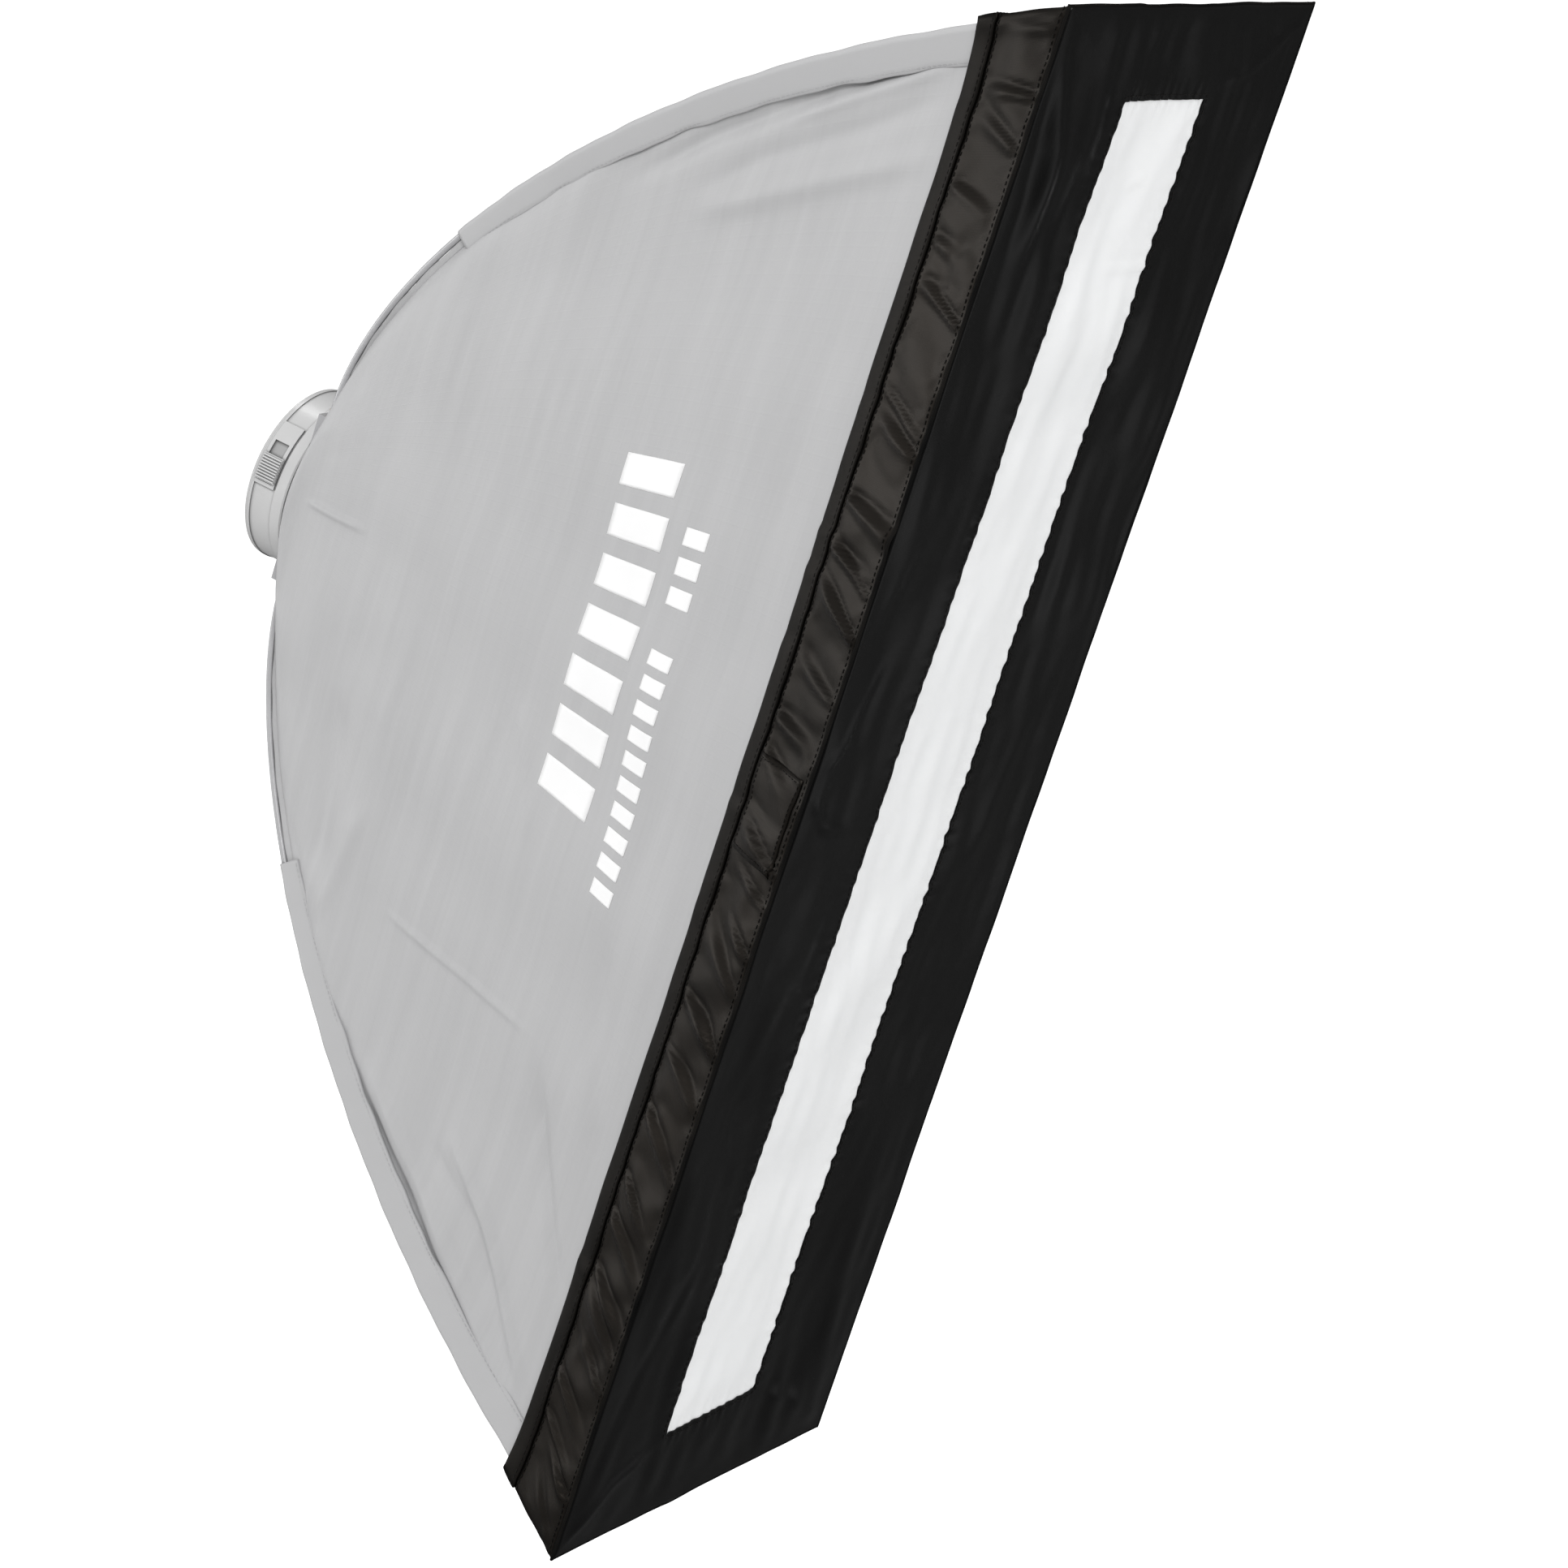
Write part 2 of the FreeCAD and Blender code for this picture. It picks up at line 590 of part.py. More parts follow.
def make_rod(name, side, up):
    """Round spring rod, swept along its upright foot and its curve."""
    foot = Vector(side * size("rod_offset"), ROD.value(0).y, up * size("rod_foot"))
    curve = rod_curve(side, up)
    spine = doc.addObject("Part::Feature", f"rod_path_{name}")
    spine.Shape = Part.Wire([Part.LineSegment(foot, curve.value(0)).toShape(), curve.toShape()])
    section = doc.addObject("Part::Circle", f"rod_section_{name}")
    section.setExpression("Radius", bound("rod_radius"))
    section.Placement = Placement(foot, Rotation())
    rod = doc.addObject("Part::Sweep", f"rod_{name}")
    rod.Sections = [section]
    rod.Spine = (spine, ["Edge1", "Edge2"])
    rod.Solid = True
    rod.Frenet = False
    keep(rod, f"spring_rod_{name}")


def cylinder(name, radius, height, placement):
    item = doc.addObject("Part::Cylinder", name)
    item.setExpression("Radius", bound(radius))
    item.setExpression("Height", bound(height))
    item.Placement = placement
    return item


def cup(label, outer, inner, length, hollow, placement):
    """Cylinder with a coaxial hole from its base; the hole is blind if it is shorter."""
    cut = doc.addObject("Part::Cut", label)
    cut.Base = cylinder(f"{label}_outside", outer, length, placement)
    start = placement.multiply(Placement(Vector(0, 0, -0.01), Rotation()))
    cut.Tool = cylinder(f"{label}_inside", inner, hollow, start)
    return keep(cut, label)


def make_rod_ends(name, side, up):
    """Ferrule at the socket, rubber tip at the front, and the webbing pocket that takes the tip."""
    base = Vector(side * size("rod_offset"), ROD.value(0).y, up * size("rod_foot - 0.1"))
    upright = Rotation(Vector(0, 0, 1), Vector(0, 0, up))
    cup(f"rod_ferrule_{name}", "rod_radius + 0.5", "rod_radius + 0.04",
        "ferrule_length", "ferrule_length + 1", Placement(base, upright))
    curve = rod_curve(side, up)
    tip = curve.value(1)
    ahead = curve.tangent(1)[0]
    turned = Rotation(Vector(0, 0, 1), ahead)
    cup(f"rod_tip_{name}", "rod_radius + 1.1", "rod_radius + 0.2",
        "rod_tip_length", "rod_tip_length - 1.9", Placement(tip - ahead * size("rod_tip_length - 2"), turned))
    cup(f"corner_pocket_{name}", "rod_radius + 2.3", "rod_radius + 1.3", "corner_pocket_length",
        "corner_pocket_length - 1", Placement(tip - ahead * size("corner_pocket_length - 3.2"), turned))


def make_rod_sleeve(name, side, up):
    """Fabric sleeve around the rod, from its mouth part way along the rod to the mask's hem."""
    curve = rod_curve(side, up)
    mouth = SLEEVE_MOUTH[up]
    path = curve.toShape(mouth, share_at_depth(HEM_DEPTH - 6))
    start = curve.value(mouth)
    pipes = []
    for radius in (size("sleeve_radius"), size("rod_radius + 0.6")):
        ring = Part.Circle(start, curve.tangent(mouth)[0], radius).toShape()
        pipes.append(Part.Wire(path).makePipeShell([Part.Wire(ring)], True, False))
    keep_feature(f"rod_sleeve_{name}", pipes[0].cut(pipes[1]))


# ---------------------------------------------------------------- cloth


def bezier_value(poles, share):
    curve = Part.BezierCurve()
    curve.setPoles(poles)
    return curve.value(share)


def normals(rows, inward):
    """Unit normals of a grid of points, turned to the side that the vector points to."""
    result = []
    for i, row in enumerate(rows):
        line = []
        for j in range(len(row)):
            up = rows[min(i + 1, len(rows) - 1)][j] - rows[max(i - 1, 0)][j]
            across = row[min(j + 1, len(row) - 1)] - row[max(j - 1, 0)]
            normal = up.cross(across).normalize()
            line.append(normal if normal.dot(inward) > 0 else normal * -1)
        result.append(line)
    return result


def shifted(rows, directions, amount):
    return [[point + way * amount for point, way in zip(row, line)] for row, line in zip(rows, directions)]


def curve_through(points):
    curve = Part.BSplineCurve()
    curve.interpolate(points)
    return curve.toShape()


def sheet_faces(rows):
    """Face through a grid of points, with its four edges: first row, last row, and two sides."""
    if len(rows) == 2:
        first, last = curve_through(rows[0]), curve_through(rows[1])
        sides = [Part.LineSegment(rows[0][end], rows[1][end]).toShape() for end in (0, -1)]
        return Part.makeRuledSurface(first, last), [first, last] + sides
    surface = Part.BSplineSurface()
    surface.interpolate(rows)
    edges = [surface.uIso(0), surface.uIso(1), surface.vIso(0), surface.vIso(1)]
    return surface.toShape(), [edge.toShape() for edge in edges]


def closed_solid(faces, outer_edges, inner_edges):
    """Solid between an outer and an inner skin, closed by ruled rims between matching edges."""
    rims = [Part.makeRuledSurface(one, other) for one, other in zip(outer_edges, inner_edges)]
    shell = Part.Shell(faces + rims)
    shell.sewShape()
    solid = Part.Solid(shell)
    if solid.Volume < 0:
        solid.reverse()
    return solid


def thick_sheet(outer_rows, inner_rows):
    """Closed solid between two matching grids of points."""
    outer, outer_edges = sheet_faces(outer_rows)
    inner, inner_edges = sheet_faces(inner_rows)
    return closed_solid([outer, inner], outer_edges, inner_edges)


def side_rows():
    """Outer face of the right shell panel: rows go forward, columns go from bottom to top."""
    last = share_at_depth(HEM_DEPTH)
    middle_poles = [Vector(55, -29, 0), Vector(54.2, -44, 0), Vector(75.3, -183.4, 0),
                    Vector(size("mask_waist") - 3.2, -HEM_DEPTH, 0)]
    rows = []
    for index in range(ROWS):
        part = index / (ROWS - 1)
        corner = seam_point(REAR_SHARE + (last - REAR_SHARE) * part)
        rows.append(side_row(bezier_value(middle_poles, part), corner, 2 + 4 * part))
    return rows


def side_row(middle, corner, power):
    """Section of a side panel between two rods; a high power keeps its middle straight."""
    row = []
    for column in COLUMNS:
        blend = abs(column) ** power
        row.append(Vector(middle.x + (corner.x - middle.x) * blend,
                          middle.y + (corner.y - middle.y) * blend, column * (corner.z - 1)))
    return row


def end_rows():
    """Outer face of the top shell panel: rows go forward, columns go from left to right."""
    last = share_at_depth(HEM_DEPTH)
    middle_poles = [Vector(0, -29, 58), Vector(0, -30, 132), Vector(0, -196, 311),
                    Vector(0, -HEM_DEPTH, size("mask_rear_half_height") - 7.3)]
    rows = []
    for index in range(ROWS):
        part = index / (ROWS - 1)
        corner = seam_point(REAR_SHARE + (last - REAR_SHARE) * part)
        rows.append(end_row(bezier_value(middle_poles, part), corner, 2 + part))
    return rows


def end_row(middle, corner, power):
    row = []
    for column in COLUMNS:
        blend = abs(column) ** power
        row.append(Vector(column * (corner.x - 1), middle.y + (corner.y - middle.y) * blend,
                          middle.z + (corner.z - middle.z) * blend))
    return row


def side_lip():
    """Front lip of the right panel, from under the mask's hem to the front edge."""
    front = size("face_depth - lip_front")
    middle = Vector(size("face_width / 2 - 5.4"), -front, 0)
    corner = Vector(size("face_width / 2 - 13"), -front, size("face_height / 2 - 14.2"))
    return [side_rows()[-1], side_row(middle, corner, 8)]


def end_lip():
    front = size("face_depth - lip_front")
    middle = Vector(0, -front, size("face_height / 2 - 5.4"))
    corner = Vector(size("face_width / 2 - 18.6"), -front, size("face_height / 2 - 14"))
    return [end_rows()[-1], end_row(middle, corner, 8)]


def mirrored(shape, side, up):
    """Copy of a right-hand or top shape for the other side of the box."""
    if side < 0:
        return shape.mirror(Vector(), Vector(1, 0, 0))
    if up < 0:
        return shape.mirror(Vector(), Vector(0, 0, 1))
    return shape.copy()


def skin(rows, front_row):
    """One skin of a panel: its main face and its lip, with the edges that bound the two."""
    main, edges = sheet_faces(rows)
    front = curve_through(front_row)
    lip = Part.makeRuledSurface(edges[1], front)
    sides = [Part.LineSegment(rows[-1][end], front_row[end]).toShape() for end in (0, -1)]
    return [main, lip], [edges[0], edges[2], edges[3], front] + sides


def panel(rows, lip, inward):
    """Shell panel: a curved main sheet and its front lip, one piece of cloth with a level front edge."""
    cloth = size("cloth")
    outer, outer_edges = skin(rows, lip[1])
    inner_rows = shifted(rows, normals(rows, inward), cloth)
    inner, inner_edges = skin(inner_rows, [point + inward * cloth for point in lip[1]])
    return closed_solid(outer + inner, outer_edges, inner_edges)


def make_shell():
    """Four sewn panels, between the rods."""
    right = panel(side_rows(), side_lip(), Vector(-1, 0, 0))
    top = panel(end_rows(), end_lip(), Vector(0, 0, -1))
    keep_feature("shell_panel_right", right)
    keep_feature("shell_panel_left", mirrored(right, -1, 1))
    keep_feature("shell_panel_top", top)
    keep_feature("shell_panel_bottom", mirrored(top, 1, -1))


def band_rows(edge_rows, shares, span):
    """Grid between two edge rows of points, at shares of the way and within a span of columns."""
    rear, front = edge_rows
    chosen = [index for index, column in enumerate(COLUMNS) if abs(column) <= span]
    return [[rear[index] + (front[index] - rear[index]) * share for index in chosen] for share in shares]


def tape_strip(edge_rows, shares, span, inward, start):
    """Tape of even thickness that lies at a distance from a ruled sheet."""
    rows = band_rows(edge_rows, shares, span)
    ways = normals(rows, inward)
    return thick_sheet(shifted(rows, ways, start), shifted(rows, ways, start + size("tape")))


def four_strips(side_strip, end_strip):
    return Part.Compound([side_strip, mirrored(side_strip, -1, 1), end_strip, mirrored(end_strip, 1, -1)])


def make_tapes():
    """Hook tape on the shell's lip, loop tape in the mask, and tape for the front diffuser."""
    right, above = Vector(-1, 0, 0), Vector(0, 0, -1)
    reach = -size("tape") - 0.1
    shares = (0.35, 0.8)
    hooks = four_strips(tape_strip(side_lip(), shares, 0.86, right, reach),
                        tape_strip(end_lip(), shares, 0.72, above, reach))
    keep_feature("shell_hook_tapes", hooks)
    inside = size("cloth") + 0.12
    loops = four_strips(tape_strip(mask_side(), shares, 0.86, right, inside),
                        tape_strip(mask_end(), shares, 0.72, above, inside))
    keep_feature("mask_loop_tapes", loops)
    inner = size("cloth") + 0.1
    holders = four_strips(tape_strip(side_lip(), (0.05, 0.4), 0.86, right, inner),
                          tape_strip(end_lip(), (0.05, 0.4), 0.72, above, inner))
    keep_feature("diffuser_tapes", holders)


# ---------------------------------------------------------------- strip mask


def mask_front_depth():
    return size("face_depth - cloth")


def mask_side():
    """Right skirt of the mask: bowed rear edge, straight front edge."""
    rear_depth = size("face_depth - mask_wrap")
    height = size("mask_rear_half_height")
    waist = size("mask_waist")
    corner = size("mask_rear_half_width")
    rear = []
    front = []
    for column in COLUMNS:
        bow = 0.65 * abs(column) ** 24 + 0.35 * abs(column) ** 6
        rear.append(Vector(waist + (corner - waist) * bow, -rear_depth, column * height))
        front.append(Vector(size("face_width / 2"), -mask_front_depth(), column * size("face_height / 2")))
    return [rear, front]


def mask_end():
    """Top skirt of the mask."""
    rear_depth = size("face_depth - mask_wrap")
    height = size("mask_rear_half_height")
    width = size("mask_rear_half_width")
    rear = []
    front = []
    for column in COLUMNS:
        bow = abs(column) ** 6
        rear.append(Vector(column * width, -rear_depth, height - 2 * (1 - bow)))
        front.append(Vector(column * size("face_width / 2"), -mask_front_depth(), size("face_height / 2")))
    return [rear, front]


def skirt_sheet(edge_rows, inward):
    """Sheet with mitred ends, so that four of them close the corners of the skirt."""
    cloth = size("cloth") * 1.12
    inner = []
    for row in edge_rows:
        shrink = []
        for point, column in zip(row, COLUMNS):
            if inward.x:
                shrink.append(point + inward * cloth - Vector(0, 0, column * cloth))
            else:
                shrink.append(point + inward * cloth - Vector(column * cloth, 0, 0))
        inner.append(shrink)
    return thick_sheet(edge_rows, inner)


def make_mask():
    """Strip mask: black face with a slot, white strip behind the slot, skirt and fabric tag."""
    half_width = size("face_width / 2")
    half_height = size("face_height / 2")
    cloth = size("cloth")
    depth = size("face_depth")
    face = Part.makeBox(2 * half_width, cloth, 2 * half_height, Vector(-half_width, -depth, -half_height))
    slot = Part.makeBox(size("window_width"), cloth, size("window_height"),
                        Vector(-size("window_width / 2"), -depth, -size("window_height / 2")))
    keep_feature("mask_front", face.cut(slot))
    strip_width = size("window_width + 2 * strip_overlap")
    strip_height = size("window_height + 2 * strip_overlap")
    strip = doc.addObject("Part::Box", "mask_window_strip")
    strip.setExpression("Length", bound("window_width + 2 * strip_overlap"))
    strip.setExpression("Width", bound("cloth * 0.75"))
    strip.setExpression("Height", bound("window_height + 2 * strip_overlap"))
    strip.Placement = Placement(Vector(-strip_width / 2, cloth - depth, -strip_height / 2), Rotation())
    keep(strip, "mask_window_strip")
    side = skirt_sheet(mask_side(), Vector(-1, 0, 0))
    end = skirt_sheet(mask_end(), Vector(0, 0, -1))
    skirt = side.multiFuse([end, mirrored(side, -1, 1), mirrored(end, 1, -1)])
    keep_feature("mask_skirt", skirt)
    make_mask_tag()


def make_mask_tag():
    """Blank sewn tag on the left skirt, half way up."""
    rear, front = mask_side()
    low, high = -30, 15
    slope = (front[0].x - rear[6].x) / (rear[0].y - front[0].y)
    rows = []
    for share in (0.12, 0.86):
        depth = size("face_depth - mask_wrap") + share * (mask_front_depth() - size("face_depth - mask_wrap"))
        across = rear[6].x + slope * (depth - size("face_depth - mask_wrap"))
        rows.append([Vector(-across, -depth, low + (high - low) * step / 4) for step in range(5)])
    ways = normals(rows, Vector(-1, 0, 0))
    keep_feature("mask_tag", thick_sheet(shifted(rows, ways, 0.05), shifted(rows, ways, 0.6)))


# ---------------------------------------------------------------- diffusers inside


def box(label, length, width, height, corner):
    item = doc.addObject("Part::Box", label)
    item.setExpression("Length", bound(length))
    item.setExpression("Width", bound(width))
    item.setExpression("Height", bound(height))
    item.Placement = Placement(corner, Rotation())
    return item


def make_front_diffuser():
    """White diffuser that hangs just behind the mask, on its tapes."""
    corner = Vector(-size("diffuser_width / 2"), -size("diffuser_depth"), -size("diffuser_height / 2"))
    sheet = box("front_diffuser", "diffuser_width", "cloth * 0.75", "diffuser_height", corner)
    keep(sheet, "front_diffuser")


def snap_centres():
    across = size("baffle_width / 2 - snap_inset")
    along = size("baffle_height / 2 - snap_inset")
    return {name: Vector(side * across, 0, up * along) for name, (side, up) in CORNERS.items()}


def snap_holes(name, radius):
    """Four round tools through the baffle and its straps."""
    tools = doc.addObject("Part::Feature", name)
    depth = size("baffle_depth")
    drills = [Part.makeCylinder(radius, 8, centre + Vector(0, 4 - depth, 0), Vector(0, -1, 0))
              for centre in snap_centres().values()]
    tools.Shape = Part.Compound(drills)
    return tools


def make_baffle():
    """Inner baffle with a snap hole in each corner."""
    corner = Vector(-size("baffle_width / 2"), -size("baffle_depth"), -size("baffle_height / 2"))
    cut = doc.addObject("Part::Cut", "inner_baffle")
    cut.Base = box("baffle_sheet", "baffle_width", "cloth * 0.75", "baffle_height", corner)
    cut.Tool = snap_holes("baffle_holes", size("snap_post_radius + 0.3"))
    keep(cut, "inner_baffle")


def make_baffle_strap(name, side, up):
    """Flat strap from a snap on the baffle to the shell's corner seam."""
    half = size("strap_width / 2")
    start = snap_centres()[name] - Vector(0, size("baffle_depth") + 1.6, 0)
    anchor = seam_point(0.66)
    anchor = Vector(side * anchor.x, anchor.y, up * anchor.z)
    along = anchor - start
    reach = along.Length - 18
    flat = Vector(0, 1, 0).cross(along).normalize()
    along.normalize()
    rise = along.cross(flat)
    rise = rise if rise.y > 0 else rise * -1
    rear_end = start - along * half
    front_end = start + along * reach
    corners = [rear_end - flat * half, rear_end + flat * half,
               front_end + flat * half, front_end - flat * half]
    strap = Part.Face(Part.makePolygon(corners + corners[:1])).extrude(rise * size("strap_thickness"))
    centre = snap_centres()[name] + Vector(0, 4 - size("baffle_depth"), 0)
    hole = Part.makeCylinder(size("snap_post_radius + 0.4"), 10, centre, Vector(0, -1, 0))
    keep_feature(f"baffle_strap_{name}", strap.cut(hole))


def make_baffle_snaps():
    """Press snaps that join the straps to the baffle: cap, post and socket in one."""
    depth = size("baffle_depth")
    snaps = []
    post_radius = size("snap_post_radius")
    ahead = Vector(0, -1, 0)
    for centre in snap_centres().values():
        post = Part.makeCylinder(post_radius, 5.4, centre + Vector(0, 1.6 - depth, 0), ahead)
        cap = Part.makeCylinder(5, 1.2, centre + Vector(0, -2.6 - depth, 0), ahead)
        socket = Part.makeCylinder(4, 1.2, centre + Vector(0, 1.9 - depth, 0), ahead)
        snaps.append(post.fuse([cap, socket]).removeSplitter())
    keep_feature("baffle_snaps", Part.Compound(snaps))


# ---------------------------------------------------------------- build and write


def build_ring():
    make_ring_body()
    make_rear_bezel()
    make_bezel_screws()
    make_lock_ring()
    make_latch_slider()
    for letter, angle in JAW_ANGLES.items():
        make_jaw(letter, angle)
        make_jaw_pad(letter, angle)
    make_socket_screws()


def build_corners():
    for name, (side, up) in CORNERS.items():
        make_rod_socket(name, side, up)
        make_rod(name, side, up)
        make_rod_ends(name, side, up)
        make_rod_sleeve(name, side, up)
        make_baffle_strap(name, side, up)


def check_document():
    for item in doc.Objects:
        if "Invalid" in item.State or "Error" in item.State:
            raise RuntimeError(f"{item.Label} failed: {item.State}")
    for item in SHAPES:
        if item.Shape.isNull() or not item.Shape.isValid() or not item.Shape.Solids:
            raise RuntimeError(f"{item.Label} has no valid solid")


build_ring()
build_corners()
make_shell()
make_mask()
make_tapes()
make_front_diffuser()
make_baffle()
make_baffle_snaps()
doc.recompute()
check_document()
os.makedirs("parts", exist_ok=True)
for item in SHAPES:
    item.Shape.exportStep(f"parts/{item.Label}.step")
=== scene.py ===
import math

import bpy
import numpy as np
from mathutils import Matrix, Vector


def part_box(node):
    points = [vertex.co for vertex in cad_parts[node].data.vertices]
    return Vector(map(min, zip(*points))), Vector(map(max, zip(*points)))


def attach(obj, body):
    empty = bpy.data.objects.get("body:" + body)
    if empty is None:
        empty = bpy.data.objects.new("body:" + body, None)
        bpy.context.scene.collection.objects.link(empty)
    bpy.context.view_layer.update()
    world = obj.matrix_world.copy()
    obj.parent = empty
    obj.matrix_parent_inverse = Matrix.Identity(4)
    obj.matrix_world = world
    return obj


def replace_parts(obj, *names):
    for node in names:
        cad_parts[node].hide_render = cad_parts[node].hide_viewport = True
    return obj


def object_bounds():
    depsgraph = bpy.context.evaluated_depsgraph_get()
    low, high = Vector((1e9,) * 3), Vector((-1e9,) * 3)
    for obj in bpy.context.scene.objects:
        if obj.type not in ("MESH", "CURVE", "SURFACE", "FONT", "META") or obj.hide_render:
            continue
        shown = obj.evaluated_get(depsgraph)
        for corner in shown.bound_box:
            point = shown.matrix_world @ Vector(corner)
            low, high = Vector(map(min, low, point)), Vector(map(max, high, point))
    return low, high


# Strip softbox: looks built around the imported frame. Lengths in this script are in millimetres in
# the frame's own axes (origin in the ring's rear face, -Y forward, +Z up) unless a name says metres.

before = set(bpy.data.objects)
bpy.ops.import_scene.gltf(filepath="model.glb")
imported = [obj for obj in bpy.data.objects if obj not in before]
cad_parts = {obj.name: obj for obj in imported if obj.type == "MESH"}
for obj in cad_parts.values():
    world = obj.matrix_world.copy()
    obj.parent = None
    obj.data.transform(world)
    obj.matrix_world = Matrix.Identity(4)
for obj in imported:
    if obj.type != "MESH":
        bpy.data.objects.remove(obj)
START_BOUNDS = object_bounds()

MM = 0.001
TURN = 2 * math.pi
# Points that tell the inner face of a cloth from its outer one: INSIDE for the walls of the box,
# BEHIND for the sheets that face forward.
INSIDE = np.array([0.0, -200.0, 0.0])
BEHIND = np.array([0.0, 4000.0, 0.0])


def box_mm(node):
    low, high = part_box(node)
    return np.array(low) / MM, np.array(high) / MM


# ---------------- sizes of the soft pieces

FACE_LOW, FACE_HIGH = box_mm("mask_front")
FERRULE_LOW, FERRULE_HIGH = box_mm("rod_ferrule_top_right")
BAFFLE_LOW, BAFFLE_HIGH = box_mm("inner_baffle")

HALF_WIDTH = FACE_HIGH[0]
HALF_HEIGHT = FACE_HIGH[2]
FACE_Y = FACE_LOW[1]
SEAM_Y = FACE_HIGH[1]
HEM_Y = box_mm("mask_skirt")[1][1]
LIP_Y = box_mm("shell_panel_right")[0][1]

CLOTH = 0.8
ROD_START = (FERRULE_LOW + FERRULE_HIGH) / 2
ROD_START[2] = 56.0
ROD_POLES = np.array([
    ROD_START,
    ROD_START + [0.0, 0.0, 98.5],
    [101.0, -195.0, 338.0],
    [HALF_WIDTH - 16.6, FACE_Y + 9.0, HALF_HEIGHT - 11.2],
])
SEAM_OFFSET = 4.6
SEAM_GAP = 1.0
REAR_SHARE = 0.05
FOLD_TAPER = 0.25
CORNERS = {"top_left": (-1, 1), "top_right": (1, 1), "bottom_left": (-1, -1), "bottom_right": (1, -1)}


# ---------------- small geometry tools


def unit(vectors):
    return vectors / np.maximum(np.linalg.norm(vectors, axis=-1, keepdims=True), 1e-9)


def places(x, y, z):
    """Points from three coordinates, each an array or one number."""
    return np.stack(np.broadcast_arrays(x, y, z), -1).astype(float)


def bezier(poles, share):
    """Points of a cubic curve; share may have any shape."""
    share = np.asarray(share, float)[..., None]
    rest = 1 - share
    return (rest ** 3 * poles[0] + 3 * rest ** 2 * share * poles[1]
            + 3 * rest * share ** 2 * poles[2] + share ** 3 * poles[3])


def bezier_slope(poles, share):
    share = np.asarray(share, float)[..., None]
    rest = 1 - share
    return (rest ** 2 * (poles[1] - poles[0]) + 2 * rest * share * (poles[2] - poles[1])
            + share ** 2 * (poles[3] - poles[2])) * 3


def share_at(y):
    """Share of the rod's curve at a depth."""
    shares = np.linspace(0, 1, 4001)
    return float(np.interp(-y, -bezier(ROD_POLES, shares)[:, 1], shares))


HEM_SHARE = share_at(HEM_Y)


def seam(share):
    """Seam of the shell beside the top right rod."""
    place = bezier(ROD_POLES, share)
    tangent = unit(bezier_slope(ROD_POLES, share))
    inward = INSIDE - place
    inward = inward - tangent * (inward * tangent).sum(-1, keepdims=True)
    return place + unit(inward) * SEAM_OFFSET


def travelled(path):
    """Distance along a path to each of its points."""
    steps = np.linalg.norm(np.diff(path, axis=0), axis=1)
    return np.concatenate([[0], np.cumsum(steps)])


def circle_angles(count):
    return np.linspace(0, TURN, count, endpoint=False)[:, None]


def closed_slope(path):
    return unit(np.roll(path, -1, 0) - np.roll(path, 1, 0))


def cubic_weights(t):
    return (0.5 * (-t + 2 * t ** 2 - t ** 3), 0.5 * (2 - 5 * t ** 2 + 3 * t ** 3),
            0.5 * (t + 4 * t ** 2 - 3 * t ** 3), 0.5 * (t ** 3 - t ** 2))


def sample(values, row, column, closed=False):
    """Smooth values of a grid at fractional rows and columns."""
    rows, columns = values.shape[:2]
    first_row = np.clip(np.floor(row).astype(int), 0, rows - 2)
    first_column = np.floor(column).astype(int)
    if not closed:
        first_column = np.clip(first_column, 0, columns - 2)
    row_weights = cubic_weights(row - first_row)
    column_weights = cubic_weights(column - first_column)
    total = 0
    for i in range(4):
        picked_row = np.clip(first_row + i - 1, 0, rows - 1)
        for j in range(4):
            picked = first_column + j - 1
            picked = picked % columns if closed else np.clip(picked, 0, columns - 1)
            total = total + (row_weights[i] * column_weights[j])[..., None] * values[picked_row, picked]
    return total


def resized(values, rows, columns, closed=False):
    """The same grid with another number of rows and columns."""
    old_rows, old_columns = values.shape[:2]
    row = np.linspace(0, old_rows - 1, rows)
    if closed:
        column = np.arange(columns) * old_columns / columns
    else:
        column = np.linspace(0, old_columns - 1, columns)
    return sample(values, *np.meshgrid(row, column, indexing="ij"), closed)


def grid_normals(points, closed=False):
    """Unit normals of a grid of points."""
    down = np.gradient(points, axis=0)
    if closed:
        across = np.roll(points, -1, 1) - np.roll(points, 1, 1)
    else:
        across = np.gradient(points, axis=1)
    return unit(np.cross(down, across))


def facing(points, normals, target):
    """1 if the normals point to the target, -1 if they point away from it."""
    return 1.0 if ((target - points) * normals).sum() > 0 else -1.0


def outward_normals(points, target=INSIDE, closed=False):
    normals = grid_normals(points, closed)
    return -normals * facing(points, normals, target)


def ripples(seed, first, second, wavelengths, heading=None, spread=math.pi, waves=22):
    """Seeded field of plane waves with about unit height, over two flat coordinates."""
    chance = np.random.default_rng(seed)
    total = 0
    for _ in range(waves):
        length = chance.uniform(*wavelengths)
        middle = chance.uniform(0, math.pi) if heading is None else heading
        angle = middle + chance.uniform(-spread, spread) / 2
        phase = chance.uniform(0, TURN)
        along = first * math.cos(angle) + second * math.sin(angle)
        total = total + np.sin(TURN * along / length + phase)
    return total / math.sqrt(waves)


def fade(distance, width):
    """0 at the edge, 1 from a width inside it."""
    share = np.clip(distance / width, 0, 1)
    return share * share * (3 - 2 * share)


